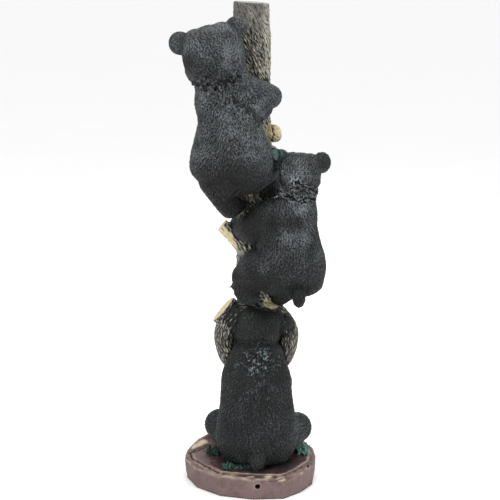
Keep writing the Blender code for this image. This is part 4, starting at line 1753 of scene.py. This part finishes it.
@dataclass
class Faces:
    """Noses, eyes and claws of all three cubs."""

    pieces: list[tuple[bpy.types.Object, str]] = field(default_factory=list)

    def ball(self, name: str, segments: int = 28) -> bpy.types.Object:
        """Models a round blank of radius 1 at the origin."""
        deselect_all()
        bpy.ops.mesh.primitive_uv_sphere_add(segments=segments, ring_count=segments // 2, radius=1.0)
        return new_primitive(name)

    def copy(self, first: bpy.types.Object, name: str, place: Matrix) -> bpy.types.Object:
        """Copies a blank to its place, with an even stroke for its paint."""
        piece = copy_of(first, name, place)
        paint_mask(piece, "stroke", np.full(len(piece.data.vertices), 0.4))
        return piece

    def nose_blank(self) -> bpy.types.Object:
        """Models a nose pad: a rounded triangle with two nostrils."""
        nose = self.ball("nose", 36)
        points = points_of(nose)
        points[:, 0] *= 1 + 0.30 * points[:, 2]
        points[:, 1] += 0.10 * points[:, 2]
        for side in (-1, 1):
            gap = np.hypot((points[:, 0] - side * 0.42) / 0.26, (points[:, 2] - 0.02) / 0.20)
            points[:, 1] -= 0.42 * np.exp(-gap ** 2) * (points[:, 1] > 0)
        points[:, 1] -= 0.16 * np.exp(-(points[:, 0] / 0.10) ** 2) * (points[:, 1] > 0) * (points[:, 2] < 0.2)
        place_points(nose, points)
        return nose

    def claw_blank(self) -> bpy.types.Object:
        """Models a claw: a cone that curves down to a blunt tip."""
        claw = tapered_shaft("claw", 14, 0.20, 0.03, cuts=5)
        points = points_of(claw)
        points[:, 0] -= 0.30 * points[:, 2] ** 2
        place_points(claw, points)
        return claw

    def build(self, cubs: Sequence[Cub]) -> None:
        """Makes every cub's nose, eyes and claws.

        Args:
            cubs: The finished cubs.
        """
        nose, eye, claw = self.nose_blank(), self.ball("eye"), self.claw_blank()
        for cub in cubs:
            tree = BVHTree.FromObject(cub.piece, bpy.context.evaluated_depsgraph_get())
            prefix = cub.name.removesuffix("_coat")
            for at, pose, size in cub.noses:
                turn = Matrix.Translation(at) @ pose.to_4x4()
                place = turn @ Matrix.Translation(Vector((0, 1.47, -0.13)) * size) @ Matrix.Diagonal(
                    (0.21 * size, 0.13 * size, 0.145 * size, 1))
                self.pieces.append((self.copy(nose, prefix + "_nose", place), "nose"))
                eyes = []
                for side in (-1, 1):
                    aim = turn @ (Vector((side * 0.36, 2.0, 0.20)) * size)
                    toward = (pose @ Vector((0, -1, 0))).normalized()
                    hit = tree.ray_cast(aim, toward)[0] or aim
                    eyes.append(self.copy(eye, "eye", Matrix.Translation(hit + toward * 0.035 * size)
                                          @ Matrix.Scale(0.105 * size, 4)))
                self.pieces.append((join(eyes, prefix + "_eyes"), "eye"))
            claws = []
            for at, way, size in cub.claws:
                place = Matrix.Translation(at - way * 0.25 * size) @ upright_to(way)
                claws.append(self.copy(claw, "claw", place @ Matrix.Scale(0.62 * size, 4)))
            self.pieces.append((join(claws, prefix + "_claws"), "claw"))
        for blank in (nose, eye, claw):
            bpy.data.objects.remove(blank, do_unlink=True)


# Studio


@dataclass
class Studio:
    """A pale floor, soft lights and the camera."""

    camera_at: Triple = (-0.0015, -2.90, 1.05)
    tilt: float = 11.45
    sensor: float = 36.0
    focal_pixels: float = 1526.0
    picture_pixels: float = 500.0
    aim: Triple = (0, 0, 0.47)
    lights: tuple[tuple[str, Triple, float, float], ...] = (
        ("key_softbox", (-1.4, -2.2, 2.4), 1.3, 30), ("fill_softbox", (1.9, -1.9, 1.5), 1.5, 10),
        ("top_softbox", (0.2, -0.3, 2.9), 1.6, 26), ("back_softbox", (0.4, 2.4, 1.9), 1.6, 26))

    def build(self) -> None:
        """Sets the studio up."""
        deselect_all()
        bpy.ops.mesh.primitive_plane_add(size=120.0)
        floor = new_primitive("studio_floor")
        material, bench, shader = start_paint("floor_paper")
        tone = bench.mix(bench.noise(3.0), colour(247, 247, 247), colour(250, 250, 250))
        bench.feed(shader, {"Base Color": tone, "Roughness": 0.9, "Specular IOR Level": 0.1})
        floor.data.materials.append(material)
        for name, at, size, watts in self.lights:
            self.light(name, at, size, watts)
        world = bpy.data.worlds.new("studio_air")
        world.use_nodes = True
        world.node_tree.nodes["Background"].inputs["Color"].default_value = (1, 1, 1, 1)
        world.node_tree.nodes["Background"].inputs["Strength"].default_value = 1.0
        bpy.context.scene.world = world
        bpy.context.scene.view_settings.view_transform = 'Standard'
        deselect_all()
        bpy.ops.object.camera_add(location=self.camera_at, rotation=(math.radians(90 - self.tilt), 0, 0))
        camera = bpy.context.view_layer.objects.active
        camera.data.lens = self.sensor * self.focal_pixels / self.picture_pixels
        camera.data.sensor_width = self.sensor
        bpy.context.scene.camera = camera

    def light(self, name: str, at: Triple, size: float, watts: float) -> None:
        """Hangs one soft light, aimed at the middle of the statue."""
        way = Vector(self.aim) - Vector(at)
        bpy.ops.object.light_add(type='AREA', location=at, rotation=way.to_track_quat('-Z', 'Y').to_euler())
        lamp = bpy.context.view_layer.objects.active
        lamp.name = name
        lamp.data.size = size
        lamp.data.energy = watts


def top_cub() -> TopCub:
    """The top cub with its folds and brushwork."""
    return TopCub(
        "top_cub_coat", 0.37, 0.535, seed=100, brush_base=0.47,
        # Patches low on the rump and under the head take brush away, partly as painted shade
        dabs=(Dab(-18, 15, 14, -0.46), Dab(-2, 17, 10, -0.30), Dab(-22, 75, 7, -0.24), Dab(-32, 80, 4, -0.40),
              Dab(-12, 6, 10, -0.30), Dab(-9, 28, 13, -0.10), Dab(-12, 71, 4, -0.30), Dab(-19, 84, 9, -0.05),
              Dab(-6, 98, 7, 0.16), Dab(-25, 60, 6, 0.08), Dab(-20, 50, 5, -0.10)),
        creases=(Crease(((-28.5, 68.6), (-24.8, 67.1), (-21.8, 68.2), (-15.3, 68.2), (-11.9, 69.9),
                         (-8.9, 71.4), (-5.4, 72.9)), 0.75, 1.0, 2.2, 0.4, 0.0, 0.28),
                 Crease(((-8.4, 61.5), (-4.4, 58.8), (-0.4, 55.8), (2.6, 52.5), (4.5, 49.5)),
                        0.35, 1.6, 1.4, 0.2, 0.0, 0.30),
                 Crease(((-16.0, 16.4), (-14.5, 13.6), (-11.0, 11.5), (-8.5, 13.1), (-7.2, 15.4)),
                        0.8, 0.8, 0.2, 0.6)),
        curls=(Curls(-19, 69.5, 12, 4.5, 0.20, 0.03, 0.0), Curls(-6, 60, 9, 6, 0.12, 0.03, 0.0)))


def middle_cub() -> MiddleCub:
    """The middle cub with its folds and brushwork."""
    return MiddleCub(
        "middle_cub_coat", 0.30, 0.37, seed=200, brush_base=0.30, voxel=0.00140,
        # Patches low on the rump take brush away, partly as painted shade
        dabs=(Dab(25, 85, 9, 0.22), Dab(36, 86, 6, 0.14), Dab(33, 62, 6, 0.32), Dab(34, 44, 6, 0.32),
              Dab(21, 42, 7, 0.20), Dab(11, 24, 4, 0.16), Dab(1, 50, 13, -0.34), Dab(26, 4, 15, -0.36),
              Dab(-2, 10, 12, -0.36), Dab(29, 53, 5, -0.20), Dab(14, 54, 6, -0.12), Dab(27, 31, 5, -0.10)),
        creases=(Crease(((27.7, 79.4), (33.3, 76.2), (37.7, 73.7), (40.9, 71.8)),
                        0.9, 0.7, 1.2, 1.1, 0.0, 0.45),
                 Crease(((18.9, 71.2), (25.2, 68.6), (32.1, 66.7), (39.0, 67.3)),
                        1.0, 0.7, 1.2, 1.1, 0.0, 0.45)),
        curls=(Curls(30, 73, 12, 4.5, 0.22, 0.32, 0.0),))


def lower_cub() -> LowerCub:
    """The lower cub with its folds and brushwork."""
    return LowerCub(
        "lower_cub_coat", 0.31, 0.044, seed=300, brush_base=0.11, frost_base=0.35,
        dabs=(Dab(-23, 22, 8, 0.06), Dab(32, 22, 9, 0.20), Dab(5, 92, 12, -0.05), Dab(-12, 99, 4, -0.06)),
        curls=(Curls(4.0, 70.5, 8.5, 7.0, 0.60, 0.40, 0.4), Curls(6, 66, 17, 8, 0.32, 0.26, 0.2),
               Curls(4.5, 50, 9, 13, 0.16, 0.22, 0.2)))


def main() -> None:
    """Builds the pieces in order and sets the studio up."""
    logging.basicConfig(level=logging.INFO, format="%(asctime)s %(message)s")
    effects = Effects()
    coat = CoatPaint("coat_dry_brushed").mix(effects)
    bark = BarkPaint("bark_scored").mix(effects)
    stone = RockPaint("rock_washed").mix(effects)
    leaf = PlainPaint("leaf_green", (8, 24, 19), (16, 42, 34), (96, 142, 130), 0.60, 0.6).mix(effects)
    faces_paint = {"nose": PlainPaint("nose_black", (12, 12, 13), (22, 22, 24), (70, 74, 80), 0.3, 0.30, 0.4),
                   "eye": PlainPaint("eye_black", (8, 7, 7), (18, 12, 9), (30, 24, 20), 0.2, 0.08, 1.0),
                   "claw": PlainPaint("claw_horn", (46, 40, 34), (70, 62, 52), (150, 138, 120), 0.5, 0.42)}
    mixed = {kind: paint.mix(effects) for kind, paint in faces_paint.items()}

    cubs: list[Cub] = [top_cub(), middle_cub(), lower_cub()]
    for cub in cubs:
        cub.build()
        dress(cub.piece, coat, Slot.COAT)
    trunk = Trunk()
    trunk.build(cubs)
    dress(trunk.piece, bark, Slot.BARK)
    rock = Rock()
    rock.build(cubs)
    dress(rock.piece, stone, Slot.ROCK)
    leaves = Leaves()
    leaves.build(rock)
    for piece in leaves.pieces:
        dress(piece, leaf, Slot.LEAF)
    faces = Faces()
    faces.build(cubs)
    for piece, kind in faces.pieces:
        dress(piece, mixed[kind], Slot.FACE)
    Studio().build()
    deselect_all()


if __name__ == "__main__":
    main()
